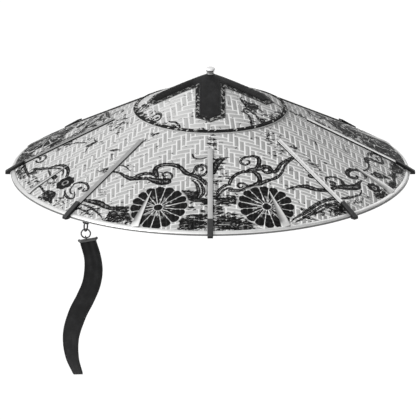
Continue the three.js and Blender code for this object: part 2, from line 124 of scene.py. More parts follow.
# Vines and scrolls of the print: azimuth, radius and half width at each point in turn
SCROLLS = [
    (-44.4, 167, 1.3, -40.9, 166, 1.1, -37.1, 168.5, 1.7, -33.8, 170, 2.5, -31.5, 168, 2.4, -28.9, 167,
     1.8, -26.3, 165.5, 2, -23.6, 167, 3.2, -20.3, 167.5, 4.2, -18, 166, 3.8, -16.6, 167, 1),
    (-33.8, 169, 1, -31.7, 164, 2.2, -29.6, 159.5, 1.8, -27, 158, 1.7, -24.8, 159.5, 1.2, -23.6, 161,
     0.5),
    (-22.5, 164, 1, -23.8, 159, 2.5, -25.5, 153, 2.9, -25.7, 147.5, 2.5, -23.3, 142.5, 2.2, -19.9, 141,
     2.1, -16.5, 141.5, 2.4, -13.5, 145.5, 2.2, -11.3, 151, 2.6, -9, 153, 2.3, -6, 156, 2.2, -3.4, 161, 2,
     -1.9, 168, 1),
    (-8.6, 153, 1, -7.5, 148, 1.2, -7.1, 142, 1.3, -4.9, 138.5, 1.3, -2.6, 139.5, 1.2, -1.3, 144.5, 1.2,
     -1.9, 150, 1.3, -3.4, 154, 1.7, -4.9, 153, 1),
    (-8.3, 160.5, 0.5, -6.2, 165, 1.2, -4.9, 172, 1.7, -4.7, 180, 2.2, -6, 187, 3, -8.6, 188, 2, -10.5,
     184, 0.5),
    (-6.2, 160, 0.5, -4.1, 165.5, 1.1, -2.8, 173, 1.5, -2.6, 181, 1.7, -3.8, 187, 1),
    (-2.3, 160, 0.5, -0.9, 168, 1, -0.7, 178, 1.2, -1.9, 186, 0.6),
    (-45, 215.5, 1.2, -41.6, 214, 2.6, -38.3, 213.5, 3.2, -35.6, 216, 2.4, -33, 217, 2, -29, 213, 2,
     -26.5, 211, 1),
    (21, 149.5, 1, 22.9, 145, 1.9, 24.7, 140, 2.2, 25.6, 134.5, 2.2, 24.4, 130, 1.7, 21.7, 129, 1.3, 18.7,
     129.5, 1.2, 16.3, 132.5, 1.2, 15.4, 136.5, 1.3, 16.5, 140, 1.2, 18.7, 140, 1.1, 20.1, 137, 1, 19.5,
     134, 0.7, 18.4, 135, 0.3),
    (21, 149.5, 1.5, 18, 151, 1.7, 15, 150.5, 1.7, 12.2, 153, 1.7, 9.7, 158, 1.7, 8.2, 164.5, 1.8, 7.7,
     168.5, 1),
    (18, 151, 0.5, 20.4, 153.5, 2.5, 21.4, 160, 2.6, 20.6, 167, 2.3, 18.4, 172, 2, 16.1, 173.5, 1),
    (21, 151, 1, 22.9, 148, 2.2, 25.5, 146.5, 2.5, 27.9, 148.5, 2.7, 28.3, 153.5, 2.5, 26.4, 156, 2, 24.6,
     154, 1.3, 24.4, 150.5, 1.1, 25.9, 150.5, 0.5),
    (27.4, 156.5, 1, 30, 156, 2, 32.2, 152.5, 1.9, 34.5, 148, 1.7, 37.9, 145, 1.5, 41.6, 143, 1.3, 45.4,
     142, 1.3),
    (19.5, 172, 2, 22.5, 168.5, 2.2, 25.1, 167, 1.6, 28.1, 165.5, 1.7, 30.7, 162.5, 1.3, 33.4, 157.5, 1.2,
     35.6, 152, 1.1, 38.6, 148, 1, 42, 145, 1, 45.4, 144, 0.9),
    (7.2, 176, 0.8, 9, 177.5, 1.2, 11.2, 178, 1.1, 13.5, 177, 1.2, 14.8, 172.5, 1.3, 14.1, 168, 1.2, 12.2,
     167, 1.1, 11.1, 170, 1, 11.6, 173.5, 0.9, 12.9, 173, 0.7, 12.9, 170.5, 0.4),
    (2.4, 182, 1.3, 3.4, 176, 1.4, 5.1, 171, 1.5, 6.9, 168.5, 1.3, 8.6, 169, 0.7),
    (29.6, 184, 0.6, 32.2, 183.5, 1.3, 35.6, 184, 1.7, 38.2, 186.5, 3, 40, 191.5, 3, 42.4, 196, 2.4, 45.4,
     200, 2.2),
    (1.6, 150, 2, 2.1, 145, 2.6, 2.6, 139, 3.6, 4.1, 134, 3, 6, 131, 2, 8.6, 128.5, 0.8),
    (2.6, 138, 1, 3.4, 131, 1.2, 5.6, 128.5, 1, 10.5, 127.5, 0.3),
    (24.4, 231, 0.5, 27, 226, 1, 30.4, 223, 1.2, 33.7, 218.5, 1.1, 36.7, 214, 1.3, 40.1, 212, 1.3, 43.5,
     213, 1.1, 45.7, 215, 0.5),
    (27, 231, 0.7, 30.4, 227, 1.3, 33.4, 223, 1.3, 36.4, 219, 1.2, 39.4, 217, 1, 42, 219, 0.8),
    (-81.4, 217, 1, -78.4, 209, 1.5, -75, 202.5, 2, -73.5, 195, 1.7, -70.9, 188.5, 1.7, -67.9, 187, 1.8,
     -64.9, 188, 1.8, -62.3, 193, 1.7, -60.9, 199, 2, -61.5, 204, 0.5),
    (-54.8, 200, 0.8, -52.9, 195, 1.2, -50.3, 193.5, 1.2, -47.8, 196.5, 1.2, -46.8, 201.5, 1.1, -48.2,
     204, 1, -48.8, 199.5, 0.6),
    (-55.1, 212, 0.7, -53.3, 216.5, 1.2, -51, 219, 1.3, -48.9, 218, 1, -49.5, 213, 0.7, -51.4, 208, 0.5),
    (-88.9, 203, 0.8, -87.6, 199, 1, -85.5, 198, 1.1, -83.6, 200.5, 1.2, -83.4, 205.5, 1.2, -85.1, 209,
     1.1, -87, 210, 0.7),
    (-66.8, 204, 2, -65.6, 204.5, 2.8, -64.9, 205.5, 1),
    (-62.3, 226, 0.5, -60, 223, 2.2, -57.6, 224.5, 4, -57, 229, 2.5, -54.8, 233, 1),
    (47.6, 188, 0.7, 49.1, 183, 1.1, 51.7, 183.5, 1.1, 53.8, 187.5, 1.3, 54.4, 193, 1.8, 53.4, 198, 2.2),
    (48, 194, 1, 49.7, 195, 1.2, 50.8, 191.5, 1.1, 49.9, 188.5, 0.8, 48.7, 190, 0.4),
    (47.1, 199, 2, 49.5, 199, 2.2, 52.5, 203, 3.6, 55.1, 206.5, 4, 57.4, 208.5, 3.6, 59.6, 206, 2, 62.6,
     204.5, 0.5),
    (64.5, 205.5, 0.7, 66.7, 202.5, 1.8, 67.5, 196, 2, 66, 189.5, 2, 63.4, 186.5, 2.2, 60.7, 188, 2.2,
     59.6, 193, 2.3, 60.9, 198, 2, 62.6, 198.5, 1.4, 63.4, 195.5, 0.8),
    (59.6, 231, 1.5, 62.2, 232, 2.5, 63.7, 227, 2.8, 64.5, 221, 2.5),
    (69.4, 197, 1.2, 72, 198.5, 1, 75.7, 196.5, 1, 78.4, 192, 1.7, 81, 194, 2.2, 81.7, 201, 2, 83.2, 208,
     1.7, 85.5, 208.5, 1),
    (83.6, 191, 0.7, 86.2, 190.5, 1, 88.5, 195, 1.2, 89.4, 202, 1),
    (70, 206, 1.2, 71.5, 209.5, 3.5, 73, 213.5, 3.6, 74, 219, 2.2, 74.6, 224, 0.8),
    (70.5, 232, 1.2, 73.5, 231, 1.4, 77.2, 225, 1.6, 79.1, 225, 1),
    (81.4, 223, 1, 84.7, 221, 1.6, 86.6, 224, 1.6, 89.2, 221, 1),
    (-17.2, 164, 0.8, -16.6, 159, 1, -17.6, 154.5, 1.1, -19.4, 152.6, 1.1, -21, 154.5, 1.1, -21.2, 157.8,
     1, -20, 159, 0.8, -19.2, 157, 0.5),
    (-6.2, 148, 0.7, -6.3, 143.5, 0.9, -5, 141.3, 0.9, -3.5, 142.5, 0.9, -3.4, 146, 0.8, -4.7, 147.6,
     0.6),
    (-43.5, 214, 1.2, -39, 213, 2, -36, 214.5, 2, -33, 216.5, 1.8, -29, 214, 1),
    (-45, 221, 0.5, -41, 222, 0.9, -37, 226, 0.9, -34, 231, 0.6),
    (-45, 228, 0.5, -41, 228.5, 0.9, -38, 232, 0.6),
    (-9, 189, 1, -6, 190.5, 2.2, -3, 191, 2.4, -0.9, 192, 2.4),
    (-44.5, 157, 0.4, -42, 155, 0.7, -39, 157, 0.6, -36.5, 160, 0.4),
    (-10.5, 121, 0.4, -9.6, 125, 1, -8.2, 128.5, 1, -5.5, 129.5, 0.7, -2, 127, 0.5),
    (3.5, 133, 1, 6, 136, 0.9, 9, 136, 0.4),
    (2, 146, 1.2, 4.5, 144, 0.9, 7, 144.5, 0.4),
    (2.6, 186, 1, 4, 180, 1.1, 5.8, 175, 1.1, 8, 173, 1, 9.5, 175, 0.6),
    (7.5, 176.5, 1.6, 10, 178, 1.8, 13, 176.5, 1.4, 15, 173, 1),
    (21, 168, 2.2, 18, 172, 2.6, 15, 174.5, 2.2, 13, 177, 1),
    (17, 150, 1.6, 20, 148.5, 2.4, 23, 148.5, 2.6, 26, 146.5, 2.6),
    (26, 232, 0.6, 29, 228.5, 1, 32, 226, 1.2, 35, 225, 1, 38, 222, 1),
    (28, 224, 0.6, 31, 220, 1, 34, 215.5, 1.1, 38, 211.5, 1.2, 42, 210, 1, 45.5, 211, 0.6),
    (-79, 214, 0.8, -76, 207, 0.9, -73, 199, 1, -70.5, 194, 0.9, -67.5, 192, 0.9, -65, 194, 0.8, -63.5,
     199, 0.6),
    (-54.8, 198, 0.7, -54.2, 203, 1, -53.6, 208, 1, -52, 212, 0.8, -50.3, 212.5, 0.5),
    (-92, 223.5, 1, -86, 223.5, 1.3, -80, 223, 1.3, -76, 223.5, 0.6),
    (-68, 223.5, 0.6, -65, 223, 1, -62.5, 225, 1, -60.5, 222.5, 1.8, -58.5, 222, 2.2, -56.5, 225, 2),
    (-91, 182, 0.5, -87.5, 173, 0.7, -84, 162, 0.9, -80.5, 156, 0.9, -78, 151, 0.5),
    (-73, 152, 0.5, -71, 157, 0.6, -69.5, 160, 0.4),
    (-79, 142, 0.3, -75, 143.5, 0.5, -71, 141.5, 0.4),
    (-58, 142.5, 0.4, -56.5, 141, 1.4, -54.8, 139, 1.4, -53, 136.5, 0.5),
    (-55, 144, 0.3, -53, 147.5, 0.6, -50, 153, 0.3),
    (-73.5, 203, 0.5, -71, 204, 1, -68.5, 206, 0.6),
    (46.5, 215, 0.8, 49, 217, 1.6, 52, 218.5, 1.2, 55, 219, 0.9, 57.5, 215, 0.6),
    (65, 141, 0.6, 66.2, 138.5, 1.2, 67.8, 135.5, 0.4),
    (56, 163, 0.4, 56.8, 165, 1.3, 57.4, 166, 0.6),
    (91, 98, 0.8, 92, 106, 1.5, 92.6, 117, 1.2),
    (84, 196, 0.8, 86.3, 193.5, 1, 88.4, 197, 1, 88.8, 203, 1, 87, 207, 1.2, 84.6, 208, 1.5),
    (84.3, 203, 1, 85.8, 200.5, 1.4, 87.2, 203, 0.6),
    (-90.8, 212, 0.8, -89, 207, 1, -87, 204.5, 1, -85.4, 205.5, 0.8),
    (101, 156, 1.5, 106, 159, 4, 112, 163, 4.4, 117, 172, 4.4, 121, 183, 3.6, 126, 200, 2),
    (95.5, 161, 1.5, 98, 166, 4, 100.5, 168, 2),
    (101, 159, 2.5, 102.5, 166, 4.5, 103.2, 176, 4.5, 104.5, 183, 2.5),
    (101.5, 184, 2, 102.5, 192, 4, 102, 199, 3.5, 104, 206, 2.5),
    (96, 184, 1.5, 96.2, 194, 3, 95.8, 200, 3),
    (94.8, 203, 3, 98, 208, 6, 102, 213, 6, 105, 219, 4, 108.5, 222.5, 1.5),
    (103, 124, 0.6, 110, 126.5, 1.1, 116, 131, 1.2, 122, 138, 1),
    (109, 143, 0.8, 111.5, 145.5, 1.8, 114, 149.5, 0.8),
    (-126, 200, 1.5, -120, 188, 2, -115, 181, 2.4, -110, 178.5, 2.4, -107.5, 184, 2.6, -106, 192, 2.4,
     -106.5, 203, 2.4, -108.5, 213, 1.5),
    (-106, 194, 1, -103, 190, 1.7, -99, 191, 2.2, -96.8, 196, 2.4, -96.2, 201, 1),
    (-126, 157, 1.5, -120, 144, 1.6, -115, 137, 1.7, -110, 131.5, 1.7, -104, 127, 1.2, -98, 121, 0.7),
    (-111, 139, 0.6, -107.5, 138, 1.2, -103, 138.5, 0.6),
    (-105, 108, 0.5, -101, 107, 1, -97, 110.5, 0.5),
    (76.5, 192.5, 1.4, 79.5, 190.5, 2.4, 81.6, 195, 2.6, 82.2, 201, 2.2),
]

# Sprigs on the crown disc: x, y and half width at each point in turn
SPRIGS = [
    (-70, -46, 0.6, -66, -42, 0.9, -60, -45, 1, -59, -51, 1, -63, -56, 0.9, -69, -54, 0.9, -71, -49, 0.6),
    (-66, -50, 0.6, -63.5, -50, 1.3, -62, -52, 0.6),
    (-79, -11, 0.5, -77, -8, 1.1, -78, -3, 0.8, -82, -1, 0.4),
    (-51, -62, 0.4, -47, -66, 1, -41, -69, 1, -37, -76, 1, -36, -81, 0.6),
    (-48, -70, 0.4, -44, -73, 1, -42, -78, 0.8),
    (-9, -82, 0.4, -8.5, -85, 0.9, -7, -88, 0.6),
    (42, -41, 0.8, 46, -36.5, 3.8, 50, -34, 4.2, 54, -31, 3.2, 57, -28, 0.8),
    (46, -42, 0.5, 50, -39, 2, 55, -36, 1.8, 58, -34, 0.5),
    (42, -39, 0.6, 39, -33, 1.5, 36.5, -28, 1.1, 36, -26, 0.4),
    (46, -38, 0.8, 43, -31, 1.6, 41, -27, 0.6),
    (48, -52, 0.6, 44, -53.5, 0.9, 40, -50, 1, 41, -45, 1, 46, -44, 0.9, 48, -48, 0.7),
    (43, -50, 0.6, 44.5, -49, 1.4, 46, -48, 0.6),
    (55, -48, 0.6, 51.5, -49, 0.9, 48.5, -46, 0.9, 50, -42, 0.9, 54, -42, 0.9, 56, -45, 0.7),
    (46, -53, 0.8, 47, -58, 1.2, 49, -64, 1.1, 50, -75, 0.8),
    (55, -49, 0.8, 56.5, -53, 1.4, 59, -58, 1.3, 62, -62, 0.6),
    (62, -42, 0.4, 66, -43, 1, 69, -41, 0.5),
    (77, -28, 0.4, 80, -24, 0.9, 83, -26, 0.5),
    (73, 3, 0.5, 78, 1, 1.1, 84, -2, 1.2, 90, -8, 0.6),
]
SPRIG_BLOSSOMS = [(48, 84, 4.2, 1)]

STROKE_STEPS = 4  # straight pieces from one point of a stroke to the next
NEAREST = 3  # strokes that are kept for each face
FAR = 9.0  # beyond every stroke and wheel, in their own measures
WHEEL_REACH = 1.25  # in a wheel's radii
ALONG_SLOPE = 1.115  # length on the cone for a step of the radius

# Crown pieces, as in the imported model
CROSS = {"half_width": 12.4, "tip": 70, "point_angle": 25.8, "thickness": 1.4}
CROSS_SLOPE = math.tan(math.radians(CROSS["point_angle"]))
CROSS_ROWS = (0, 3, 6, 8.5, 9.8, 10.4, 11, 11.6, 12, 12.25)  # rows of faces, closer at the edge
RING_WIDTH = 3.4
RING_OVERHANG = 1.4
EDGING_CREST = 90.2
EDGING_ROWS = (89.1, 90.9)
# The braid's section: offset from the cross's outline, and height
BRAID_SECTION = [
    (GAP, 0), (GAP, 0.45), (0.5, 0.72), (0.8, 0.85), (1.1, 0.72), (1.3, 0.42), (4.4, 0.42), (4.6, 0.72),
    (4.9, 0.85), (5.2, 0.72), (5.35, 0.45), (5.35, 0)]
WHITE_EVERY = 5  # threads of the braid
TWILL_THREAD = 0.9

# The rim's binding, rounded: radius and height round its outside, from the weave to under the rim
RIM_RADIUS = 240
RIM_SIDES = 288
RIM_PROFILE = [
    (235.35, 5.05), (236.5, 4.85), (237.7, 4.25), (238.9, 3.3), (239.6, 2.3), (240, 1.2), (239.9, 0.4),
    (239.4, 0.05), (237.5, 0.25), (234, 1.3), (231.2, 2.8), (231, 3.4), (231.3, 4.6), (234.8, 2.7),
    (235.3, 2.9), (235.33, 3.9),
]
TONGUE = {
    "tip": 184, "base": 236.8, "tip_width": 0.8, "width": 11.2, "low": 0.5, "tip_high": 0.7, "high": 2.4}
RIB_COUNT = 8
RIB = {"start": 116, "end": 223, "width": 6.2, "height": 2.5}
CAP = {"end": 246.7, "width": 6.8, "top": 2.8, "bottom": -0.7}

KNOB_SIDES = 64
# The finial's outline from its seat on the cross to its top
FINIAL_PROFILE = [
    (0.02, 0), (4.6, -1.9), (4.6, -1.1), (4.2, -0.6), (3.4, -0.3), (3.2, 0.3), (3.4, 0.9), (4.4, 1.15),
    (5.0, 1.5), (5.15, 1.9), (5.0, 2.4), (4.75, 2.65), (5.3, 2.85), (5.7, 3.2), (5.75, 3.6),
    (5.55, 4.2), (5.1, 4.85), (4.4, 5.4), (3.4, 5.85), (2.2, 6.15), (1.1, 6.28), (0.02, 6.28)]

# Hanging pieces, about the hanging point under the rim
HANG = (-148.527, -180.82)
HANG_AZIMUTH = -39.4
LINK = {"height": 13.5, "width": 8, "wire": 1.9, "middle": -7.25}
LINK_ROUND = 0.9  # 1 would be an ellipse; below 1 is fuller
RING = {"radius": 5.5, "wire": 1.8, "middle": -16.35}
STAPLE = {"span": 8, "wire": 1.8, "top": 1.75, "bottom": -3.65}
CLAMP = {"x": 2.533, "z": -24.423, "tilt": 9.3, "length": 21, "height": 3, "depth": 4.2}
CLAMP_SLOT = {"width": 20.3, "depth": 2.3, "height": 2.6}
CLAMP_LOOP = {"radius": 2.1, "wire": 1.5, "offset": -2.1, "height": 2.85}
CLAMP_BALL = {"radius": 1.7, "lift": 0.7, "sides": 24}

# The strap's middle line from the clamp down, its width and its turn in degrees
STRAP = [
    (2.47, 0, -24.03, 19.6, 0), (3.18, 0, -28.37, 19.6, 0), (7.9, 0, -46, 20.4, 0),
    (9.0, 2, -64, 22.2, 0), (6.2, 4, -82, 22.3, 2), (-0.9, 5, -100, 22.3, 5),
    (-10.6, 4, -120, 22.3, 13), (-17.9, 1, -145, 22.3, 29), (-16.9, -3, -170, 22.2, 42),
    (-9.4, -6, -192, 22.0, 55),
]
# Half of the strap's cross-section: share of the half width and height of each point
STRAP_SECTION = [
    (-1, 0.25), (-0.985, 0.6), (-0.95, 0.78), (-0.86, 0.8), (-0.82, 0.68), (-0.795, 0.46),
    (-0.77, 0.64), (-0.72, 0.72), (-0.35, 0.78), (0, 0.8), (0.35, 0.78), (0.72, 0.72),
    (0.77, 0.64), (0.795, 0.46), (0.82, 0.68), (0.86, 0.8), (0.95, 0.78), (0.985, 0.6), (1, 0.25)]
STRAP_STEPS = 12

# The camera: where it looks, from how high and how large the hat is in the picture
VIEW_ELEVATION = 18.42
VIEW_PIXELS_PER_MM = 0.8302
IMAGE_WIDTH = 420
LOOK_AT = (-0.0003, 0, -0.1491)
FLOOR_HALF = 20  # metres


def length(name, description, default, **limits):
    """A length that the panel shows"""
    return bpy.props.FloatProperty(
        name=name, description=description, default=default, precision=5, unit="LENGTH", **limits)


def tint(name, description, *default):
    """A colour that the panel shows"""
    return bpy.props.FloatVectorProperty(
        name=name, description=description, subtype="COLOR", size=4, default=(*default, 1), min=0, max=1)


class HatSizes(bpy.types.PropertyGroup):
    """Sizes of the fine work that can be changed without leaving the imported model's form"""

    relief: length(
        "Strip Relief", "How far a strip's middle stands above its edges", 0.0006, min=0.0, max=0.0008)
    braid_length: length(
        "Braid Strand Length", "Length of one visible strand of the cross's braid", 0.0054)
    braid_width: length("Braid Strand Width", "Width of one visible strand of the cross's braid", 0.0024)
    cord_length: length(
        "Edging Strand Length", "Length of one visible strand of the crown's edging", 0.0042)
    cord_width: length("Edging Strand Width", "Width of one visible strand of the crown's edging", 0.0019)


class HatColours(bpy.types.PropertyGroup):
    """Colours of the finishes"""

    strip: tint("Strips", "Colour of the woven strips", 0.4, 0.4, 0.397)
    strip_edge: tint("Strip Edges", "Colour of the pale lines between strips", 0.69, 0.69, 0.686)
    lacquer: tint("Print", "Colour of the lacquer print", 0.005, 0.005, 0.005)
    metal: tint("Pale Metal", "Colour of the ribs and the rim", 0.9, 0.9, 0.895)
    steel: tint("Dark Steel", "Colour of the staple and the link", 0.05, 0.05, 0.0515)
    black: tint("Black Strap", "Colour of the cross and the hanging strap", 0.008, 0.008, 0.0082)
    cap: tint("Rib Caps", "Colour of the caps at the ribs' ends", 0.03, 0.03, 0.0305)


class HatStage(bpy.types.PropertyGroup):
    """Camera, floor and light"""

    camera_distance: length(
        "Camera Distance", "From the camera to the point that it looks at", 20.0, min=2.0)
    floor_height: length("Floor Height", "Height of the floor below the hat's seat", -0.65)
    key_light: bpy.props.FloatProperty(
        name="Key Light", description="Strength of the soft light from the front left", default=2.35)
    sky_light: bpy.props.FloatProperty(
        name="Room Light", description="Strength of the light from all round", default=0.64)


class Value:
    """A socket in a node tree, on which arithmetic adds Math nodes"""

    def __init__(self, tree, socket):
        self.tree = tree
        self.socket = socket


def arithmetic(operation, swapped=False):
    """A method of Value that adds one kind of Math node"""
    def method(value, *others):
        return value.tree.math(operation, *((*others, value) if swapped else (value, *others)))

    return method


for name, operation in (
        ("add", "ADD"), ("sub", "SUBTRACT"), ("mul", "MULTIPLY"), ("truediv", "DIVIDE"),
        ("mod", "FLOORED_MODULO"), ("pow", "POWER"), ("abs", "ABSOLUTE"), ("floor", "FLOOR"),
        ("lt", "LESS_THAN"), ("gt", "GREATER_THAN")):
    setattr(Value, f"__{name}__", arithmetic(operation))
    if name in ("add", "sub", "mul"):
        setattr(Value, f"__r{name}__", arithmetic(operation, swapped=True))


class Tree:
    """A shader or geometry node tree that is built in plain steps"""

    def __init__(self, node_tree):
        self.node_tree = node_tree

    def node(self, kind, settings=None, sockets=None, output=0):
        """Adds a node: first its settings, a ramp's stops among them, then its sockets"""
        node = self.node_tree.nodes.new(kind)
        for name, setting in (settings or {}).items():
            if name == "stops":
                while len(node.color_ramp.elements) < len(setting):
                    node.color_ramp.elements.new(0.5)
                for element, (position, colour) in zip(node.color_ramp.elements, setting):
                    element.position, element.color = position, colour
            else:
                setattr(node, name, setting)
        for key, value in (sockets or {}).items():
            self.feed(node.inputs[key], value)
        return Value(self, node.outputs[output])

    def feed(self, socket, value):
        if isinstance(value, Value):
            self.node_tree.links.new(value.socket, socket)
        else:
            socket.default_value = value

    def math(self, operation, *values):
        return self.node("ShaderNodeMath", {"operation": operation}, dict(enumerate(values)))

    def chain(self, operation, first, *others):
        for other in others:
            first = self.math(operation, first, other)
        return first

    def least(self, *values):
        return self.chain("MINIMUM", *values)

    def most(self, *values):
        return self.chain("MAXIMUM", *values)

    def step(self, low, high, value):
        """0 below low and 1 above high, with a smooth rise between them, or falling where low is above"""
        return self.node(
            "ShaderNodeMapRange", {"interpolation_type": "SMOOTHSTEP"},
            {"Value": value, "From Min": low, "From Max": high})

    def vector(self, operation, first, second):
        return self.node("ShaderNodeVectorMath", {"operation": operation}, {0: first, 1: second})

    def scaled(self, vector, amount):
        return self.node("ShaderNodeVectorMath", {"operation": "SCALE"}, {0: vector, "Scale": amount})

    def parts(self, vector):
        """The three numbers of a vector"""
        x = self.node("ShaderNodeSeparateXYZ", sockets={0: vector})
        return [Value(self, socket) for socket in x.socket.node.outputs]

    def joined(self, x, y, z):
        return self.node("ShaderNodeCombineXYZ", sockets={0: x, 1: y, 2: z})

    def noise(self, place, scale, detail=2.0, roughness=0.5, stretch=None):
        """Noise over places, which are first multiplied by stretch"""
        if stretch:
            place = self.vector("MULTIPLY", place, stretch)
        return self.node("ShaderNodeTexNoise", sockets={
            "Vector": place, "Scale": scale, "Detail": detail, "Roughness": roughness})

    def mix(self, share, first, second):
        """A colour between two colours"""
        return self.node(
            "ShaderNodeMix", {"data_type": "RGBA"}, {0: share, 6: first, 7: second}, output=2)

    def place(self):
        """Object coordinates in millimetres"""
        metres = self.node("ShaderNodeTexCoord", output="Object")
        return self.vector("MULTIPLY", metres, (1 / MM,) * 3)

    def attribute(self, name, output="Fac"):
        return self.node("ShaderNodeAttribute", {"attribute_name": name}, output=output)

    def varied(self, colour, rough, height, strength, distance=0.1 * MM):
        """A finish's varying inputs; its normal comes from a height that runs from 0 to 1"""
        normal = self.node(
            "ShaderNodeBump", sockets={"Height": height, "Strength": strength, "Distance": distance})
        return {"Base Color": colour, "Roughness": rough, "Normal": normal}


def grey(level):
    """A colour without hue"""
    return level, level, level, 1


def tinted(colour, share):
    """A colour made darker, or paler where share is above 1"""
    return tuple(channel * share for channel in colour[:3]) + (1,)


def finish(name, surface, *choices, **constants):
    """A material: constants go on the shader's own sockets, surface gives what varies over a piece"""
    material = bpy.data.materials.new(name)
    material.use_nodes = True
    tree = Tree(material.node_tree)
    shader = material.node_tree.nodes["Principled BSDF"]
    for socket, value in constants.items():
        shader.inputs[socket.replace("_", " ")].default_value = value
    for socket, value in surface(tree, *choices).items():
        tree.feed(shader.inputs[socket], value)
    return material


def weave_marks(tree, weave):
    """The woven strips' pattern: pale edge share, height, fibre grain and a number for each strip"""
    x, y, _ = tree.parts(tree.place())
    away = abs(x)
    right, beside = x > 0.0, (away + y) > 0.0
    sectors = weave if len(weave) == 4 else weave * 2

    def here(name, place=None):
        """A number of the weave's table for the sector that a place lies in"""
        front_left, front_right, left, right_side = (
            sector[name] if place is None else sector[name][place] for sector in sectors)
        front = front_left + right * (front_right - front_left)
        back = left + right * (right_side - left)
        return front + beside * (back - front)

    (cell_x, lean, start_x), (cell_y, fall, start_y) = (
        [here(name, place) for place in range(3)] for name in ("along", "up"))
    a = (away + lean * y - start_x) / cell_x
    b = (y + fall * away - start_y) / cell_y
    column, row = math.floor(a), math.floor(b)
    turn = (column + row + here("phase")) % (2 * FLOAT_CELLS)
    flat = turn < FLOAT_CELLS - 0.5
    upright = 1 - flat
    in_a, in_b = a - column, b - row
    across = flat * in_b + upright * in_a
    along = flat * (turn + in_a) + upright * (turn - FLOAT_CELLS + in_b)
    wide = flat * cell_y + upright * cell_x
    side = (0.5 - abs(across - 0.5)) * wide
    end = tree.least(along, FLOAT_CELLS - along) * wide
    edge = tree.least(side, end)
    strip = tree.joined(
        column - flat * turn + right * 61 + beside * 97, row - upright * (turn - FLOAT_CELLS), flat)
    chance = tree.node("ShaderNodeTexWhiteNoise", {"noise_dimensions": "3D"}, {"Vector": strip})
    fibre_place = tree.joined(across * wide * 2.6 + chance * 40, along * 0.7, chance * 90)
    fibre = tree.noise(fibre_place, 1.0, 3.0)
    pale = tree.step(1.15, 0.6, edge) * (1 - flat * tree.step(0.7, 1.2, end) * 0.35)
    return pale, tree.step(0.0, 1.4, edge), fibre, chance, upright


def printed_share(tree):
    """Where the lacquer print lies: scrolls, wheels with petals, blossoms and scattered flecks"""
    place = tree.place()
    rough = tree.noise(place, 0.9, 3.0, 0.6)
    lines = tree.parts(tree.attribute("scroll", "Vector"))
    nearest = tree.least(*[abs(line) for line in lines])
    scroll = tree.step(1.34, 1.2, nearest + (rough - 0.5) * 0.45)
    bare = tree.noise(place, 0.4, 2.0, 0.5)
    inner = tree.step(0.46, 0.22, nearest) * tree.step(0.46, 0.56, bare)
    scroll = scroll * (1 - inner * 0.36)

    u, v, small = tree.parts(tree.attribute("wheel", "Vector"))
    reach = tree.math("SQRT", u * u + v * v)
    angle = tree.math("ARCTAN2", v, u) * (PETALS / (2 * math.pi))
    from_spoke = abs((angle % 1.0) - 0.5)  # 0 at a petal's middle, 0.5 at a spoke
    lobe = tree.math("SQRT", tree.most(1 - (from_spoke * 2) ** 2.0, 0.0))
    worn = (rough - 0.5) * 0.12
    outline = tree.step(0.0, 0.015, 0.86 + lobe * 0.14 - reach + worn * 0.3)
    spoke_gap = (0.5 - from_spoke) * reach * (2 * math.pi / PETALS)
    petal = tree.step(0.009, 0.02, spoke_gap + worn * 0.12) * tree.step(0.176, 0.19, reach)
    hub = tree.step(0.158, 0.146, reach)
    ray_place = tree.joined(angle * 1.4, reach * 2.6, small)
    ray = tree.step(0.54, 0.6, tree.noise(ray_place, 1.8, 2.0, 0.6)) * tree.step(0.66, 0.36, reach)
    wheel = tree.most(petal * outline * (1 - ray * 0.8), hub)
    scallop = tree.math("SINE", tree.math("ARCTAN2", v, u) * 8.0) * 0.07
    heart = 1 - tree.step(0.1, 0.04, abs(reach + worn - 0.3)) * 0.5
    blossom = tree.step(1.0, 0.95, reach - scallop + worn) * heart
    flower = small * blossom + (1 - small) * wheel
    inside = tree.step(1.06, 0.98, reach)

    density = tree.attribute("print_density")
    stroke = tree.noise(place, 0.42, 3.0, 0.6, (0.5, 0.9, 1.0))
    hatch = tree.noise(place, 0.42, 3.0, 0.6, (0.14, 0.8, 0.8))
    patch = tree.noise(place, 0.15, 3.0, 0.6)
    grains = tree.most(stroke, hatch) + (patch - 0.5) * 0.6
    flecks = tree.step(0.0, 0.025, grains - 0.72 + density * 0.34)
    streak = tree.noise(place, 0.5, 3.0, 0.65, (0.22, 1.1, 1.1))
    flecks = flecks * (1 - tree.step(0.57, 0.63, streak) * 0.75)
    ground = tree.most(scroll, flecks)
    cover = tree.most(ground * (1 - inside), flower * inside)
    scratch = tree.noise(place, 0.55, 3.0, 0.7, (1.0, 3.2, 1.0))
    return cover * (1 - tree.step(0.66, 0.74, scratch) * 0.6)


def weave_look(tree, weave, colours, printed):
    """Woven strips with pale edges, and the lacquer print on them where it is asked for"""
    pale, height, fibre, chance, upright = weave_marks(tree, weave)
    x, _, _ = tree.parts(tree.place())
    tone = 0.9 + chance * 0.14 + fibre * 0.2 - upright * 0.14
    # Painted light: the crown disc's strips are lighter towards -x, the lit side
    if weave is DISC_WEAVE:
        tone = tone + tree.step(30.0, -50.0, x) * 0.16
    strip = tree.scaled(tuple(colours.strip[:3]), tone)
    # Painted light: the pale lines between strips are brightened towards +x
    edge = tree.scaled(tuple(colours.strip_edge[:3]), 1 + tree.step(-60.0, 120.0, x) * 0.3)
    colour = tree.mix(pale, strip, edge)
    rough = 0.5 + fibre * 0.15
    if printed:
        share = printed_share(tree)
        colour = tree.mix(share, colour, tree.mix(pale * 0.4, colours.lacquer, grey(0.028)))
        rough = rough - share * 0.14
    return tree.varied(colour, rough, height * 0.6 + fibre * 0.4, 0.5, 0.3 * MM)


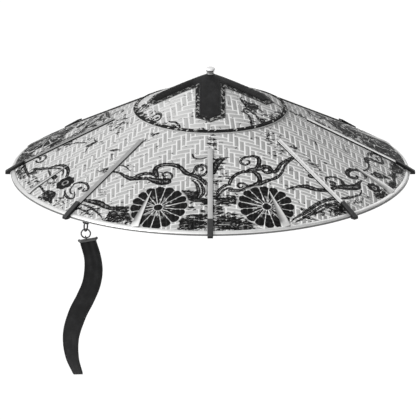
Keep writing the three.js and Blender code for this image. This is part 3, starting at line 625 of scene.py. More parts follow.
def metal_look(tree, colour, rough, grain, hollow=0.0, shade=0.0):
    """Satin metal with fine marks; the last two arguments paint shade: by a share stored on each point,
    and towards the -x end
    """
    place = tree.place()
    brushed = tree.noise(place, 1.0, 4.0, 0.65, grain)
    cloud = tree.noise(place, 0.05, 3.0, 0.6)
    share = tree.step(0.35, 0.75, brushed * 0.5 + cloud * 0.5)
    tone = tree.mix(share, colour, tinted(colour, 0.8))
    if hollow:
        # Painted shade from the share stored on each point
        tone = tree.scaled(tone, 1 - tree.attribute("hollow") * hollow)
    if shade:
        # Painted shade towards the -x end
        tone = tree.scaled(tone, 1 - tree.step(60.0, -60.0, tree.parts(place)[0]) * shade)
    return tree.varied(tone, rough + (brushed - 0.5) * 0.18, brushed, 0.06)


def twill_look(tree, colour, slant):
    """A fine twill: slanting threads with a little unevenness"""
    place = tree.place()
    x, y, z = tree.parts(place)
    run = (x + y * slant + z * slant) * (2 * math.pi / TWILL_THREAD)
    cross = (z - x * slant + y) * (2 * math.pi / TWILL_THREAD)
    wale = tree.math("SINE", run) * 0.5 + tree.math("SINE", cross) * 0.25 + 0.5
    cloud = tree.noise(place, 0.12, 3.0, 0.6)
    share = tree.step(0.1, 1.1, wale * 0.5 + cloud * 0.6)
    tone = tree.mix(share, colour, tinted(colour, 1.9))
    return tree.varied(tone, 0.6 + (cloud - 0.5) * 0.2, wale, 0.35, 0.12 * MM)


def strand_look(tree, dark, light):
    """Silky strands, each black or white by its own number"""
    share = tree.step(0.49, 0.51, tree.attribute("chance"))
    sheen = tree.noise(tree.place(), 2.5, 2.0)
    return tree.varied(tree.mix(share, dark, light), 0.45 + sheen * 0.25, sheen, 0.2)


def leather_look(tree, colour, grain, painted_shade):
    """Fine-grained black leather with soft wear; the last argument gives the share of painted shade that
    darkens each place
    """
    place = tree.place()
    cells = tree.node(
        "ShaderNodeTexVoronoi", {"feature": "DISTANCE_TO_EDGE"}, {"Vector": place, "Scale": grain})
    pebble = tree.step(0.0, 0.25, cells)
    cloud = tree.noise(place, 0.09, 4.0, 0.6)
    share = tree.step(0.4, 0.8, cloud) * 0.6 + pebble * 0.25
    tone = tree.scaled(tree.mix(share, colour, tinted(colour, 2.2)), 1 - painted_shade(tree))
    return tree.varied(tone, 0.42 + cloud * 0.2 - pebble * 0.05, pebble, 0.3)


def enamel_look(tree, colour):
    """Black enamel with faint dust and worn spots"""
    dust = tree.noise(tree.place(), 0.5, 4.0, 0.7)
    tone = tree.mix(tree.step(0.5, 0.8, dust), colour, tinted(colour, 2.5))
    return tree.varied(tone, 0.35 + dust * 0.25, dust, 0.1)


def knob_look(tree, seat):
    """The knob's satin metal: a pale domed cap over a darker band and a pale neck"""
    place = tree.place()
    height = tree.parts(place)[2] - seat
    cloud = tree.noise(place, 0.6, 3.0, 0.6)
    band = tree.step(1.0, 1.2, height) * tree.step(2.9, 2.7, height)
    cap = tree.step(2.7, 2.9, height)
    low = tree.mix(band, grey(0.3), grey(0.05))
    white = tree.mix(cloud, grey(0.86), grey(0.74))
    return {
        "Base Color": tree.mix(cap, low, white), "Roughness": 0.22 + cloud * 0.15,
        "Metallic": 0.6 - cap * 0.55}


def cone_height(radius):
    """The outside of the woven cone"""
    return np.interp(radius, CONE_RADII, CONE_HEIGHTS)


def crown_height(radius):
    """The top of the crown disc, which follows the cone's flat upper part"""
    return CONE_HEIGHTS[0] - radius * CROWN_SLOPE + GAP + DISC_THICKNESS


def to_frame(points):
    """Points in millimetres above the rim's lower edge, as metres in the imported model's frame"""
    return (np.asarray(points, float) - (0, 0, SEAT_HEIGHT)) * MM


def smooth_rows(rows, steps):
    """A table's rows joined by a smooth curve through all of them, with some steps from row to row"""
    rows = np.asarray(rows, float)
    padded = np.vstack([2 * rows[0] - rows[1], rows, 2 * rows[-1] - rows[-2]])
    t = np.arange(steps)[:, None] / steps
    spans = []
    for a, b, c, d in zip(padded, padded[1:], padded[2:], padded[3:]):
        spans.append(0.5 * (2 * b + (c - a) * t + (2 * a - 5 * b + 4 * c - d) * t**2
                            + (3 * b - a - 3 * c + d) * t**3))
    return np.vstack(spans + [rows[-1:]])


def around(radius, azimuth):
    """Plan place of a radius and an azimuth in degrees from the front"""
    turn = np.radians(azimuth)
    return np.stack([radius * np.sin(turn), -radius * np.cos(turn)], -1)


def new_piece(name, mesh):
    piece = bpy.data.objects.new(name, mesh)
    bpy.context.scene.collection.objects.link(piece)
    return piece


def new_mesh(name, part, material=None):
    """A mesh from a part, which is its points in millimetres and its faces"""
    points, faces = part
    mesh = bpy.data.meshes.new(name)
    mesh.from_pydata(to_frame(points).tolist(), [], [tuple(int(v) for v in face) for face in faces])
    if material:
        mesh.materials.append(material)
    return mesh


def shaped(name, part, material=None):
    return new_piece(name, new_mesh(name, part, material))


def places_of(mesh):
    """A mesh's points in millimetres"""
    places = np.zeros(len(mesh.vertices) * 3)
    mesh.vertices.foreach_get("co", places)
    return places.reshape(-1, 3) / MM


def store(mesh, name, values, domain="POINT"):
    """Keeps an attribute: numbers, vectors, or yes and no"""
    values = np.asarray(values)
    kind = "BOOLEAN" if values.dtype == bool else "FLOAT_VECTOR" if values.ndim > 1 else "FLOAT"
    layer = mesh.attributes.new(name, kind, domain)
    if kind != "BOOLEAN":
        values = values.ravel().astype(np.float32)
    layer.data.foreach_set("vector" if kind == "FLOAT_VECTOR" else "value", values)


def ring_pairs(loop):
    """Each item of a closed loop with the one after it"""
    return zip(loop, loop[1:] + loop[:1])


def stand_for(piece, slot, *nodes, sharp=35):
    """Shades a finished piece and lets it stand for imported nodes"""
    piece.data.shade_smooth()
    piece.data.set_sharp_from_angle(angle=math.radians(sharp))
    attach(piece, "root")
    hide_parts(*nodes)


def merged(parts):
    """Several (points, faces) as one"""
    points, faces, count = [], [], 0
    for part_points, part_faces in parts:
        points.extend(part_points)
        faces.extend([tuple(v + count for v in face) for face in part_faces])
        count += len(part_points)
    return points, faces


def loft(loops, closed_along=False):
    """Points and faces of closed loops, one after another; loops turn left round the way that they go"""
    points, faces = [point for loop in loops for point in loop], []
    size, count = len(loops[0]), len(loops)
    for s in range(count if closed_along else count - 1):
        low, high = s * size, (s + 1) % count * size
        for k in range(size):
            after = (k + 1) % size
            faces.append((low + k, low + after, high + after, high + k))
    if not closed_along:
        faces += [tuple(range(size))[::-1], tuple(range((count - 1) * size, count * size))]
    return points, faces


def lathe(profile, sides, closed=True):
    """A profile of radius and height turned about the upright axis; open ends close at the axis"""
    turns = np.arange(sides) * 2 * math.pi / sides
    loops = [[(r * math.sin(a), -r * math.cos(a), z) for a in turns] for r, z in profile]
    return loft(loops, closed_along=closed)


def wire(line, radius, sides=14, closed=True):
    """A round wire along a line of points"""
    line = [Vector(point) for point in line]
    count, loops = len(line), []
    normal = None
    for k, point in enumerate(line):
        before = line[k - 1] if closed or k else point
        after = line[(k + 1) % count] if closed or k < count - 1 else point
        along = (after - before).normalized()
        if normal is None:
            normal = along.orthogonal().normalized()
        normal = (normal - along * normal.dot(along)).normalized()
        across = along.cross(normal)
        loops.append([
            tuple(point + normal * radius * math.cos(a) + across * radius * math.sin(a))
            for a in (2 * math.pi * s / sides for s in range(sides))])
    return loft(loops, closed_along=closed)


def moved(part, place=(0, 0, 0), turn=None):
    """A part's points turned by a 3 by 3 matrix and moved"""
    points, faces = part
    points = np.asarray(points, float)
    if turn is not None:
        points = points @ np.asarray(turn).T
    return (points + place).tolist(), faces


def turned(axis, degrees):
    """The matrix that turns about an axis"""
    c, s = math.cos(math.radians(degrees)), math.sin(math.radians(degrees))
    if axis == "Z":
        return np.array(((c, -s, 0), (s, c, 0), (0, 0, 1)))
    return np.array(((c, 0, s), (0, 1, 0), (-s, 0, c)))


def strip_crest(column, row, a, b, phase):
    """Height at places of one cell of the weave, from 0 at a strip's edges to 1 at its middle"""
    turn = (column + row + phase) % (2 * FLOAT_CELLS)
    flat = turn < FLOAT_CELLS
    along = np.where(flat, turn + a - column, turn - FLOAT_CELLS + b - row)
    across = np.where(flat, b - row, a - column)
    return (1 - abs(2 * across - 1) ** 3) * (1 - abs(2 * along / FLOAT_CELLS - 1) ** 6)


def clip_faces(points, faces, inside):
    """Cuts faces along the line where inside is 0, and keeps the positive side and its points"""
    points, inside = [tuple(point) for point in points], list(inside)
    kept, cuts = [], {}

    def cut(u, v):
        key = (min(u, v), max(u, v))
        if key not in cuts:
            share = inside[key[0]] / (inside[key[0]] - inside[key[1]])
            first, second = np.array(points[key[0]]), np.array(points[key[1]])
            cuts[key] = len(points)
            points.append(tuple(first + (second - first) * share))
        return cuts[key]

    for face in faces:
        values = [inside[v] for v in face]
        if max(values) <= 0:
            continue
        shape = []
        for (u, here), (v, there) in ring_pairs(list(zip(face, values))):
            if here >= 0:
                shape.append(u)
            if here * there < 0:
                shape.append(cut(u, v))
        if len(shape) > 2:
            kept.append(shape)
    used = sorted({v for face in kept for v in face})
    place = {v: k for k, v in enumerate(used)}
    return np.array(points)[used], [tuple(place[v] for v in face) for face in kept]


def grid_faces(shape):
    """The faces of a grid of points"""
    index = np.arange(shape[0] * shape[1]).reshape(shape)
    corners = index[:-1, :-1], index[1:, :-1], index[1:, 1:], index[:-1, 1:]
    return np.stack(corners, -1).reshape(-1, 4)


def border_loops(faces):
    """The open edges of a mesh, as loops that run as its faces do"""
    directed = dict.fromkeys(edge for face in faces for edge in ring_pairs(face))
    after = {u: v for u, v in directed if (v, u) not in directed}
    loops = []
    while after:
        start, v = after.popitem()
        loop = [start]
        while v != start:
            loop.append(v)
            v = after.pop(v)
        loops.append(loop)
    return loops


def zip_rows(left, right, left_place, right_place):
    """Triangles between two rows of points that run the same way, the second on the right"""
    faces, i, j = [], 0, 0
    while i < len(left) - 1 or j < len(right) - 1:
        if j == len(right) - 1 or (i < len(left) - 1 and left_place[i + 1] <= right_place[j + 1]):
            faces.append((left[i], right[j], left[i + 1]))
            i += 1
        else:
            faces.append((left[i], right[j], right[j + 1]))
            j += 1
    return faces


def zip_loops(points, inner, outer):
    """Triangles between two loops round the axis, both running towards growing turns"""
    rows = []
    for loop in (inner, outer):
        turns = np.array([math.atan2(points[v][1], points[v][0]) for v in loop])
        start = int(turns.argmin())
        ordered = list(loop[start:]) + list(loop[:start])
        turns = np.concatenate([turns[start:], turns[:start]])
        rows.append((ordered + ordered[:1], np.append(turns, turns[0] + 2 * math.pi)))
    (inner, inner_turns), (outer, outer_turns) = rows
    return zip_rows(inner, outer, inner_turns, outer_turns)


def ray(azimuth):
    """The way out along an azimuth, and the way across it towards growing azimuths"""
    turn = math.radians(azimuth)
    return np.array((math.sin(turn), -math.cos(turn))), np.array((math.cos(turn), math.sin(turn)))


def weave_sector(sector, inner, outer):
    """Plan points with their crests, and faces, of one sector of a woven ring"""
    (cell_a, lean, start_a), (cell_b, fall, start_b) = sector["along"], sector["up"]
    sign = 1 if sector["from"] >= 0 else -1
    near = 1e-6
    span = np.array([(x, y) for x in (0, outer) for y in (-outer, outer)])
    lines = []
    for values, cell in (((span[:, 0] + lean * span[:, 1] - start_a), cell_a),
                         ((span[:, 1] + fall * span[:, 0] - start_b), cell_b)):
        cells = np.arange(math.floor(values.min() / cell) - 1, math.ceil(values.max() / cell) + 2)
        lines.append((cells[:, None] + CELL_STEPS).ravel())
    a, b = np.meshgrid(*lines, indexing="ij")
    crest = np.ones_like(a)
    for da in (-near, near):
        for db in (-near, near):
            column, row = np.floor(a + da), np.floor(b + db)
            crest = np.minimum(crest, strip_crest(column, row, a, b, sector["phase"]))
    u, v = a * cell_a + start_a, b * cell_b + start_b
    x = (u - lean * v) / (1 - lean * fall)
    y = v - fall * x
    x = x * sign
    radius = np.maximum(np.hypot(x, y), near)
    room = np.minimum(outer - radius, radius - inner)
    target = np.where(outer - radius < radius - inner, outer, max(inner, 1))
    pull_x, pull_y = x * (target / radius - 1), y * (target / radius - 1)
    for azimuth, side in ((sector["from"], 1), (sector["to"], -1)):
        _, across = ray(azimuth)
        space = side * (x * across[0] + y * across[1]) - SEAM
        closer = space < room
        pull_x = np.where(closer, -side * across[0] * space, pull_x)
        pull_y = np.where(closer, -side * across[1] * space, pull_y)
        room = np.minimum(room, space)
    snap = abs(room) < 0.2
    x, y = x + np.where(snap, pull_x, 0), y + np.where(snap, pull_y, 0)
    room = np.where(snap, 0, room)
    crest = crest * np.clip(room / 1.2, 0, 1)
    quads = grid_faces(a.shape)
    quads = quads[(room.ravel()[quads] > 0).any(1)][:, ::sign]
    return clip_faces(np.stack([x, y, crest], -1).reshape(-1, 3), quads.tolist(), room.ravel())


def woven_ring(weave, inner, outer):
    """The woven top of a ring or disc: plan points, crests and faces, and its border loops"""
    all_points, all_faces, borders, count = [], [], [], 0
    for sector in weave:
        points, faces = weave_sector(sector, inner, outer)
        all_points.append(points)
        all_faces.extend(tuple(v + count for v in face) for face in faces)
        borders.append([v + count for loop in border_loops(faces) for v in loop])
        count += len(points)
    points = np.vstack(all_points)
    for right, sector in enumerate(weave):
        for left, other in enumerate(weave):
            if (other["from"] - sector["to"]) % 360 or (inner <= 0 and sector["to"] != 0):
                continue
            out, across = ray(sector["to"])
            rows = []
            for border, side in ((borders[left], 1), (borders[right], -1)):
                places = points[border][:, :2]
                on = abs(places @ across - side * SEAM) < 1e-4
                on &= (places @ out > 0) | (inner <= 0)
                row = sorted(np.array(border)[on].tolist(), key=lambda v: points[v][:2] @ out)
                rows.append((row, points[row][:, :2] @ out))
            (first, first_reach), (second, second_reach) = rows
            all_faces.extend(zip_rows(first, second, first_reach, second_reach))
    loops = sorted(border_loops(all_faces), key=lambda loop: np.hypot(*points[loop[0]][:2]))
    return points[:, :2], points[:, 2], all_faces, loops


def woven_body(weave, inner, outer, top, thickness):
    """A closed woven layer. top gives the height of the outside, thickness the layer's height.
    Returns points, crests, faces and how many of the faces are woven."""
    plan, crest, faces, loops = woven_ring(weave, inner, outer)
    woven = len(faces)
    radius = np.hypot(plan[:, 0], plan[:, 1])
    points = [tuple(point) for point in np.column_stack([plan, top(radius)])]
    if inner > 0:
        apex = len(points)
        points.append((0, 0, top(0)))
        faces.extend((u, v, apex) for u, v in ring_pairs(loops[0][::-1]))
    edge = loops[-1]
    turns = np.arange(ROUND_SIDES) * 2 * math.pi / ROUND_SIDES
    for r in [outer] + [r for r in reversed(CONE_RADII) if 0 < r < outer - 1]:
        ring = list(range(len(points), len(points) + ROUND_SIDES))
        points.extend((r * math.cos(a), r * math.sin(a), top(r) - thickness) for a in turns)
        faces.extend(zip_loops(points, edge, ring))
        edge = ring
    apex = len(points)
    points.append((0, 0, top(0) - thickness))
    faces.extend((v, u, apex) for u, v in ring_pairs(edge))
    crest = np.concatenate([crest, np.zeros(len(points) - len(crest))])
    return points, crest, faces, woven


def polar(plan):
    """Azimuths and radii of plan places"""
    return np.degrees(np.arctan2(plan[:, 0], -plan[:, 1])), np.hypot(plan[:, 0], plan[:, 1])


def degrees_past(azimuths, start):
    """Azimuths counted from a start, between -180 and 180"""
    return (azimuths - start + 180) % 360 - 180


def print_twice(items, repeated):
    """Items of the print with their turns: on the cone, each comes again past the side ribs"""
    for item in items:
        yield item, 0
        if repeated:
            yield item, UNIT_TURN if item[0] > 0 else -UNIT_TURN


def printed_strokes(strokes, repeated):
    """The strokes as short straight pieces in plan: start, end, half widths, first and last piece"""
    pieces, count = [], 0
    for row, turn in print_twice(strokes, repeated):
        line = smooth_rows(np.reshape(row, (-1, 3)), STROKE_STEPS)
        plan = around(line[:, 1], line[:, 0] + turn) if repeated else line[:, :2]
        plan = np.column_stack([plan, np.maximum(line[:, 2], 0.3)])
        size = len(plan) - 1
        pieces.append((plan[:-1], plan[1:], np.full(size, count), np.full(size, count + size - 1)))
        count += size
    return [np.concatenate(part) for part in zip(*pieces)]


def from_piece(place, start, end):
    """Signed distance of plan places from straight pieces, the half width there and the share along"""
    run = end[..., :2] - start[..., :2]
    away = place - start[..., :2]
    share = np.clip((away * run).sum(-1) / np.maximum((run * run).sum(-1), 1e-9), 0, 1)
    miss = away - run * share[..., None]
    half = start[..., 2] + (end[..., 2] - start[..., 2]) * share
    side = np.where(run[..., 0] * miss[..., 1] - run[..., 1] * miss[..., 0] < 0, -1, 1)
    return np.hypot(miss[..., 0], miss[..., 1]) * side, half, share


def nearest_strokes(places, pieces):
    """For each place, the nearest straight pieces of different strokes, and the distance to a stroke"""
    starts, ends, firsts, _ = pieces
    best = np.full((len(places), NEAREST), FAR)
    found = np.full((len(places), NEAREST), -1)
    for first in np.unique(firsts):
        members = np.flatnonzero(firsts == first)
        corners = np.vstack([starts[members], ends[members]])[:, :2]
        close = np.flatnonzero(
            ((places > corners.min(0) - FAR) & (places < corners.max(0) + FAR)).all(1))
        if not len(close):
            continue
        distance, half, _ = from_piece(places[close, None], starts[members][None], ends[members][None])
        distance = abs(distance) - half
        pick = distance.argmin(1)
        low = distance[np.arange(len(close)), pick]
        better = low < best[close, -1]
        rows = close[better]
        best[rows, -1], found[rows, -1] = low[better], members[pick[better]]
        order = best[rows].argsort(1, kind="stable")
        best[rows] = np.take_along_axis(best[rows], order, 1)
        found[rows] = np.take_along_axis(found[rows], order, 1)
    return best, found


def print_attributes(mesh, woven, strokes, wheels, fields, repeated):
    """Stores where the print lies: signed share of the way across the nearest strokes and places in
    the wheels for each corner of the woven faces, and how dense the print is at each point"""
    corners = np.zeros(len(mesh.loops), int)
    mesh.loops.foreach_get("vertex_index", corners)
    totals = np.zeros(len(mesh.polygons), int)
    mesh.polygons.foreach_get("loop_total", totals)
    face_of = np.repeat(np.arange(len(totals)), totals)
    plan = places_of(mesh)[:, :2]
    woven_corners = np.flatnonzero(face_of < woven)
    corner_plan, corner_face = plan[corners[woven_corners]], face_of[woven_corners]
    centres = np.zeros((woven, 2))
    np.add.at(centres, corner_face, corner_plan)
    centres /= totals[:woven, None]

    pieces = printed_strokes(strokes, repeated)
    starts, ends, firsts, lasts = pieces
    best, found = nearest_strokes(centres, pieces)
    scroll = np.full((len(corners), NEAREST), FAR)
    for slot in range(NEAREST):
        piece = found[corner_face, slot]
        held = np.flatnonzero(piece >= 0)
        piece = piece[held]
        first, last = firsts[piece], lasts[piece]
        near = np.clip(piece[:, None] + np.arange(-4, 5), first[:, None], last[:, None])
        distance, half, share = from_piece(corner_plan[held][:, None], starts[near], ends[near])
        pick = (abs(distance) - half).argmin(1)
        row = np.arange(len(held))
        distance, half, share, near = (part[row, pick] for part in (distance, half, share, near))
        past = ((near == first) & (share <= 0)) | ((near == last) & (share >= 1))
        blunt = np.zeros(woven, bool)
        np.logical_or.at(blunt, corner_face[held], past)
        value = np.where(blunt[corner_face[held]], abs(distance), distance) / half
        scroll[woven_corners[held], slot] = np.clip(value, -FAR, FAR)

    azimuth, radius = polar(corner_plan)
    wheel = np.tile((FAR, FAR, 0.0), (len(corners), 1))
    nearest = np.full(woven, WHEEL_REACH)
    for (at, r, size, small), turn in print_twice(wheels, repeated):
        def offset(azimuths, radii):
            across = radii * np.radians(degrees_past(azimuths, at + turn)) / size
            return across, (radii - r) * ALONG_SLOPE / size

        distance = np.hypot(*offset(*polar(centres)))
        mine = distance < nearest
        nearest[mine] = distance[mine]
        held = np.flatnonzero(mine[corner_face])
        u, v = offset(azimuth[held], radius[held])
        wheel[woven_corners[held]] = np.column_stack([u, v, np.full(len(held), small)])

    azimuth, radius = polar(plan)
    stroke_distance = np.full(len(plan), FAR)
    np.minimum.at(stroke_distance, corners[woven_corners], best[corner_face, 0])
    density = 0.06 + 0.14 * np.exp(-np.maximum(stroke_distance, 0) / 3.5)
    for (at, r, wide, high, amount), turn in print_twice(fields, repeated):
        away = abs(degrees_past(azimuth, at + turn) / wide) ** 4 + abs((radius - r) / high) ** 4
        density = np.maximum(density, amount * np.exp(-0.7 * away))

    store(mesh, "scroll", scroll, "CORNER")
    store(mesh, "wheel", wheel, "CORNER")
    store(mesh, "print_density", density)


class Grower(Tree):
    """A geometry tree with named inputs, put on an object and turned into a plain mesh"""

    def __init__(self, name, inputs):
        group = bpy.data.node_groups.new(name, "GeometryNodeTree")
        super().__init__(group)
        group.interface.new_socket("Geometry", in_out="INPUT", socket_type="NodeSocketGeometry")
        self.sockets = {}
        for label, (kind, value) in inputs.items():
            socket = group.interface.new_socket(label, in_out="INPUT", socket_type=kind)
            socket.default_value = value
            self.sockets[label] = socket.identifier
        group.interface.new_socket("Geometry", in_out="OUTPUT", socket_type="NodeSocketGeometry")
        source = group.nodes.new("NodeGroupInput")
        self.given = {socket.name: Value(self, socket) for socket in source.outputs if socket.name}

    def named(self, name, kind):
        return self.node("GeometryNodeInputNamedAttribute", {"data_type": kind}, {"Name": name})

    def last(self, geometry, material, second=None):
        """The tree's last nodes: Realize Instances and Set Material, again for a chosen second one"""
        made = self.node("GeometryNodeRealizeInstances", sockets={"Geometry": geometry})
        for chosen, surface in [(True, material)] + ([second] if second else []):
            made = self.node("GeometryNodeSetMaterial", sockets={
                "Geometry": made, "Selection": chosen, "Material": surface})
        self.node_tree.links.new(made.socket, self.node_tree.nodes.new("NodeGroupOutput").inputs[0])

    def grow(self, piece, **values):
        """Runs the tree on an object, whose mesh becomes the result"""
        modifier = piece.modifiers.new(self.node_tree.name, "NODES")
        modifier.node_group = self.node_tree
        for label, value in values.items():
            modifier[self.sockets[label]] = value
        found = piece.evaluated_get(bpy.context.evaluated_depsgraph_get())
        mesh = bpy.data.meshes.new_from_object(found)
        piece.modifiers.remove(modifier)
        piece.data = mesh
        mesh.name = piece.name
        return piece


def relief_tree(outside, inside):
    """Lifts a woven layer's strips along their crests, a little unevenly"""
    tree = Grower("woven_relief", {
        "Relief": ("NodeSocketFloat", 0.0006), "Unevenness": ("NodeSocketFloat", 0.2),
        "Seed": ("NodeSocketFloat", 4.0)})
    place = tree.scaled(tree.node("GeometryNodeInputPosition"), 1 / MM)
    cloud = tree.node("ShaderNodeTexNoise", {"noise_dimensions": "4D"}, {
        "Vector": place, "Scale": 0.14, "W": tree.given["Seed"]})
    lift = tree.named("crest", "FLOAT") * tree.given["Relief"] * (1 - cloud * tree.given["Unevenness"])
    raised = tree.node("GeometryNodeSetPosition", sockets={
        "Geometry": tree.given["Geometry"], "Offset": tree.joined(0.0, 0.0, lift)})
    tree.last(raised, outside, (tree.named("second_finish", "BOOLEAN"), inside))
    return tree


def strand_tree(material):
    """Lays small rounded strands on points that carry the way that they run and their upright"""
    tree = Grower("laid_strands", {
        "Length": ("NodeSocketFloat", 0.003), "Width": ("NodeSocketFloat", 0.001),
        "Height": ("NodeSocketFloat", 0.001), "Seed": ("NodeSocketInt", 3)})
    strand = tree.node("GeometryNodeMeshUVSphere", sockets={"Segments": 7, "Rings": 4, "Radius": 0.5})
    turn = tree.node(
        "FunctionNodeAxesToRotation", {"primary_axis": "X", "secondary_axis": "Z"},
        {f"{axis} Axis": tree.named(name, "FLOAT_VECTOR")
         for axis, name in (("Primary", "run"), ("Secondary", "up"))})
    uneven = tree.node(
        "FunctionNodeRandomValue", {"data_type": "FLOAT"},
        {2: 0.85, 3: 1.1, "Seed": tree.given["Seed"]}, output=1)
    size = tree.joined(*(tree.given[side] for side in ("Length", "Width", "Height")))
    points = tree.node("GeometryNodeMeshToPoints", sockets={"Mesh": tree.given["Geometry"]})
    laid = tree.node("GeometryNodeInstanceOnPoints", sockets={
        "Points": points, "Instance": strand, "Rotation": turn, "Scale": tree.scaled(size, uneven)})
    tree.last(laid, material)
    return tree


def round_tree(name, material, side):
    """Repeats a part evenly round the upright axis; its upright sides take their own finish"""
    tree = Grower(name, {"Count": ("NodeSocketInt", RIB_COUNT)})
    spots = tree.node("GeometryNodeMeshLine", sockets={
        "Count": tree.given["Count"], "Offset": (0, 0, 0)})
    turn = tree.node("GeometryNodeInputIndex") * (2 * math.pi) / tree.given["Count"]
    copies = tree.node("GeometryNodeInstanceOnPoints", sockets={
        "Points": spots, "Instance": tree.given["Geometry"],
        "Rotation": tree.joined(0.0, 0.0, turn)})
    _, _, facing = tree.parts(tree.node("GeometryNodeInputNormal"))
    tree.last(copies, material, (facing < 0.35, side))
    return tree


def laid_strands(name, rows, material, length, width, height):
    """Strands on points: each row has a place, the strand's way, its upright and its number"""
    places, runs, ups, chances = (np.array(part, float) for part in zip(*rows))
    mesh = bpy.data.meshes.new(name)
    mesh.from_pydata(to_frame(places).tolist(), [], [])
    for label, values in (("run", runs), ("up", ups), ("chance", chances)):
        store(mesh, label, values)
    return strand_tree(material).grow(new_piece(name, mesh), Length=length, Width=width, Height=height)


def joined_piece(name, pieces):
    """One object from several, which keep their materials"""
    with bpy.context.temp_override(
            active_object=pieces[0], selected_editable_objects=pieces, object=pieces[0]):
        bpy.ops.object.join()
    pieces[0].name = name
    return pieces[0]


def grown(outline, offset):
    """A left-turning outline grown on every side, with its corners kept sharp"""
    outline = [Vector(corner) for corner in outline]
    result = []
    for before, (corner, after) in zip(outline[-1:] + outline[:-1], ring_pairs(outline)):
        first, second = (corner - before).normalized(), (after - corner).normalized()
        middle = Vector((first.y, -first.x)) + Vector((second.y, -second.x))
        result.append(tuple(corner + middle * (2 * offset / middle.length_squared)))
    return result


def cross_outline():
    """The cross's corners, turning left"""
    half, tip = CROSS["half_width"], CROSS["tip"]
    shoulder = tip - half * CROSS_SLOPE
    corners = []
    for x, y in ((-1, 0), (0, -1), (1, 0), (0, 1)):
        for along, across in ((shoulder, -half), (tip, 0), (shoulder, half), (half, half)):
            corners.append((x * along - y * across, y * along + x * across))
    return corners


def along_outline(outline, step):
    """Places evenly along a closed outline, and the way that it runs at each"""
    for start, end in ring_pairs([Vector(corner) for corner in outline]):
        count = max(1, round((end - start).length / step))
        for k in range(count):
            yield start.lerp(end, (k + 0.5) / count), (end - start).normalized()


def on_crown(place, run, slant, lift, light):
    """One strand on the crown: slanted from the way that its row runs, lifted off the crown disc"""
    x, y = place
    radius = math.hypot(x, y)
    up = Vector((x / radius * CROWN_SLOPE, y / radius * CROWN_SLOPE, 1)).normalized()
    along = Vector((run.x, run.y, 0))
    along = (along - up * along.dot(up)).normalized()
    turn = math.radians(slant)
    along = along * math.cos(turn) + up.cross(along) * math.sin(turn)
    return (x, y, crown_height(radius) + lift), tuple(along), tuple(up), light


def swept_round(outline, section, step):
    """A band on the crown that follows a closed outline: section gives offsets and heights, turning
    left round the way that the outline runs"""
    rails = [grown(outline, offset) for offset, _ in section]
    loops = []
    for k, (corner, after) in enumerate(ring_pairs([Vector(corner) for corner in outline])):
        count = max(1, round((after - corner).length / step))
        for s in range(count):
            loop = []
            for rail, (_, lift) in zip(rails, section):
                x, y = Vector(rail[k]).lerp(Vector(rail[(k + 1) % len(rail)]), s / count)
                loop.append((x, y, crown_height(math.hypot(x, y)) + GAP + lift))
            loops.append(loop)
    return loft(loops, closed_along=True)


def thickened(top, faces, bottom):
    """A closed layer from the points of its upper and lower sides and the faces of the upper"""
    count = len(top)
    sides = [(v, u, u + count, v + count) for loop in border_loops(faces) for u, v in ring_pairs(loop)]
    under = [tuple(v + count for v in face[::-1]) for face in faces]
    return [*top, *bottom], faces + sides + under


def cross_layer():
    """The leather cross: a grid cut to the outline, its edges rounded, laid on the crown"""
    half, tip = CROSS["half_width"], CROSS["tip"]
    lines = np.array([*CROSS_ROWS, half, *np.arange(half + 1.6, tip, 1.6), tip])
    lines = np.concatenate([-lines[:0:-1], lines])
    x, y = np.meshgrid(lines, lines, indexing="ij")

    def arm(along, across):
        point = (tip - along - across * CROSS_SLOPE) * math.cos(math.atan(CROSS_SLOPE))
        return np.minimum(half - across, point)

    room = np.maximum(arm(abs(x), abs(y)), arm(abs(y), abs(x)))
    room[abs(room) < 1e-6] = 0
    flat = np.column_stack([x.ravel(), y.ravel(), room.ravel()])
    points, faces = clip_faces(flat, grid_faces(x.shape).tolist(), room.ravel())
    plan, room = points[:, :2], points[:, 2]
    ground = crown_height(np.hypot(*plan.T)) + GAP
    rounded = 0.7 * (1 - np.sqrt(1 - (1 - np.clip(room / 0.7, 0, 1)) ** 2))
    groove = 0.28 * np.exp(-(((room - 2) / 0.55) ** 2))
    top = np.column_stack([plan, ground + CROSS["thickness"] - rounded - groove])
    return thickened(top, faces, np.column_stack([plan, ground]))


def woven_piece(context, name, node, weave, inner, outer, top, thickness, prints):
    """A woven layer with its print, its strips lifted by the relief tree"""
    colours = context.scene.hat_colours
    outside = finish(name + "_lacquered", weave_look, weave, colours, True, Specular_IOR_Level=0.08)
    inside = finish(name + "_bare", weave_look, weave, colours, False, Specular_IOR_Level=0.3)
    points, crest, faces, woven = woven_body(weave, inner, outer, top, thickness)
    mesh = new_mesh(name, (points, faces))
    print_attributes(mesh, woven, *prints)
    store(mesh, "crest", crest)
    store(mesh, "second_finish", np.arange(len(faces)) >= woven, "FACE")
    tree = relief_tree(outside, inside)
    piece = tree.grow(new_piece(name, mesh), Relief=context.scene.hat_sizes.relief)
    stand_for(piece, "weave", node)


class HAT_OT_cone(bpy.types.Operator):
    """Weaves the cone and prints its wheels and scrolls"""

    bl_idname = "hat.cone"
    bl_label = "Woven Cone"

    def execute(self, context):
        woven_piece(
            context, "cone", "woven_shell", CONE_WEAVE, *CONE_BAND, lambda r: cone_height(r) - GAP,
            CONE_LAYER, (SCROLLS, WHEELS + BLOSSOMS, FIELDS, True))
        return {"FINISHED"}


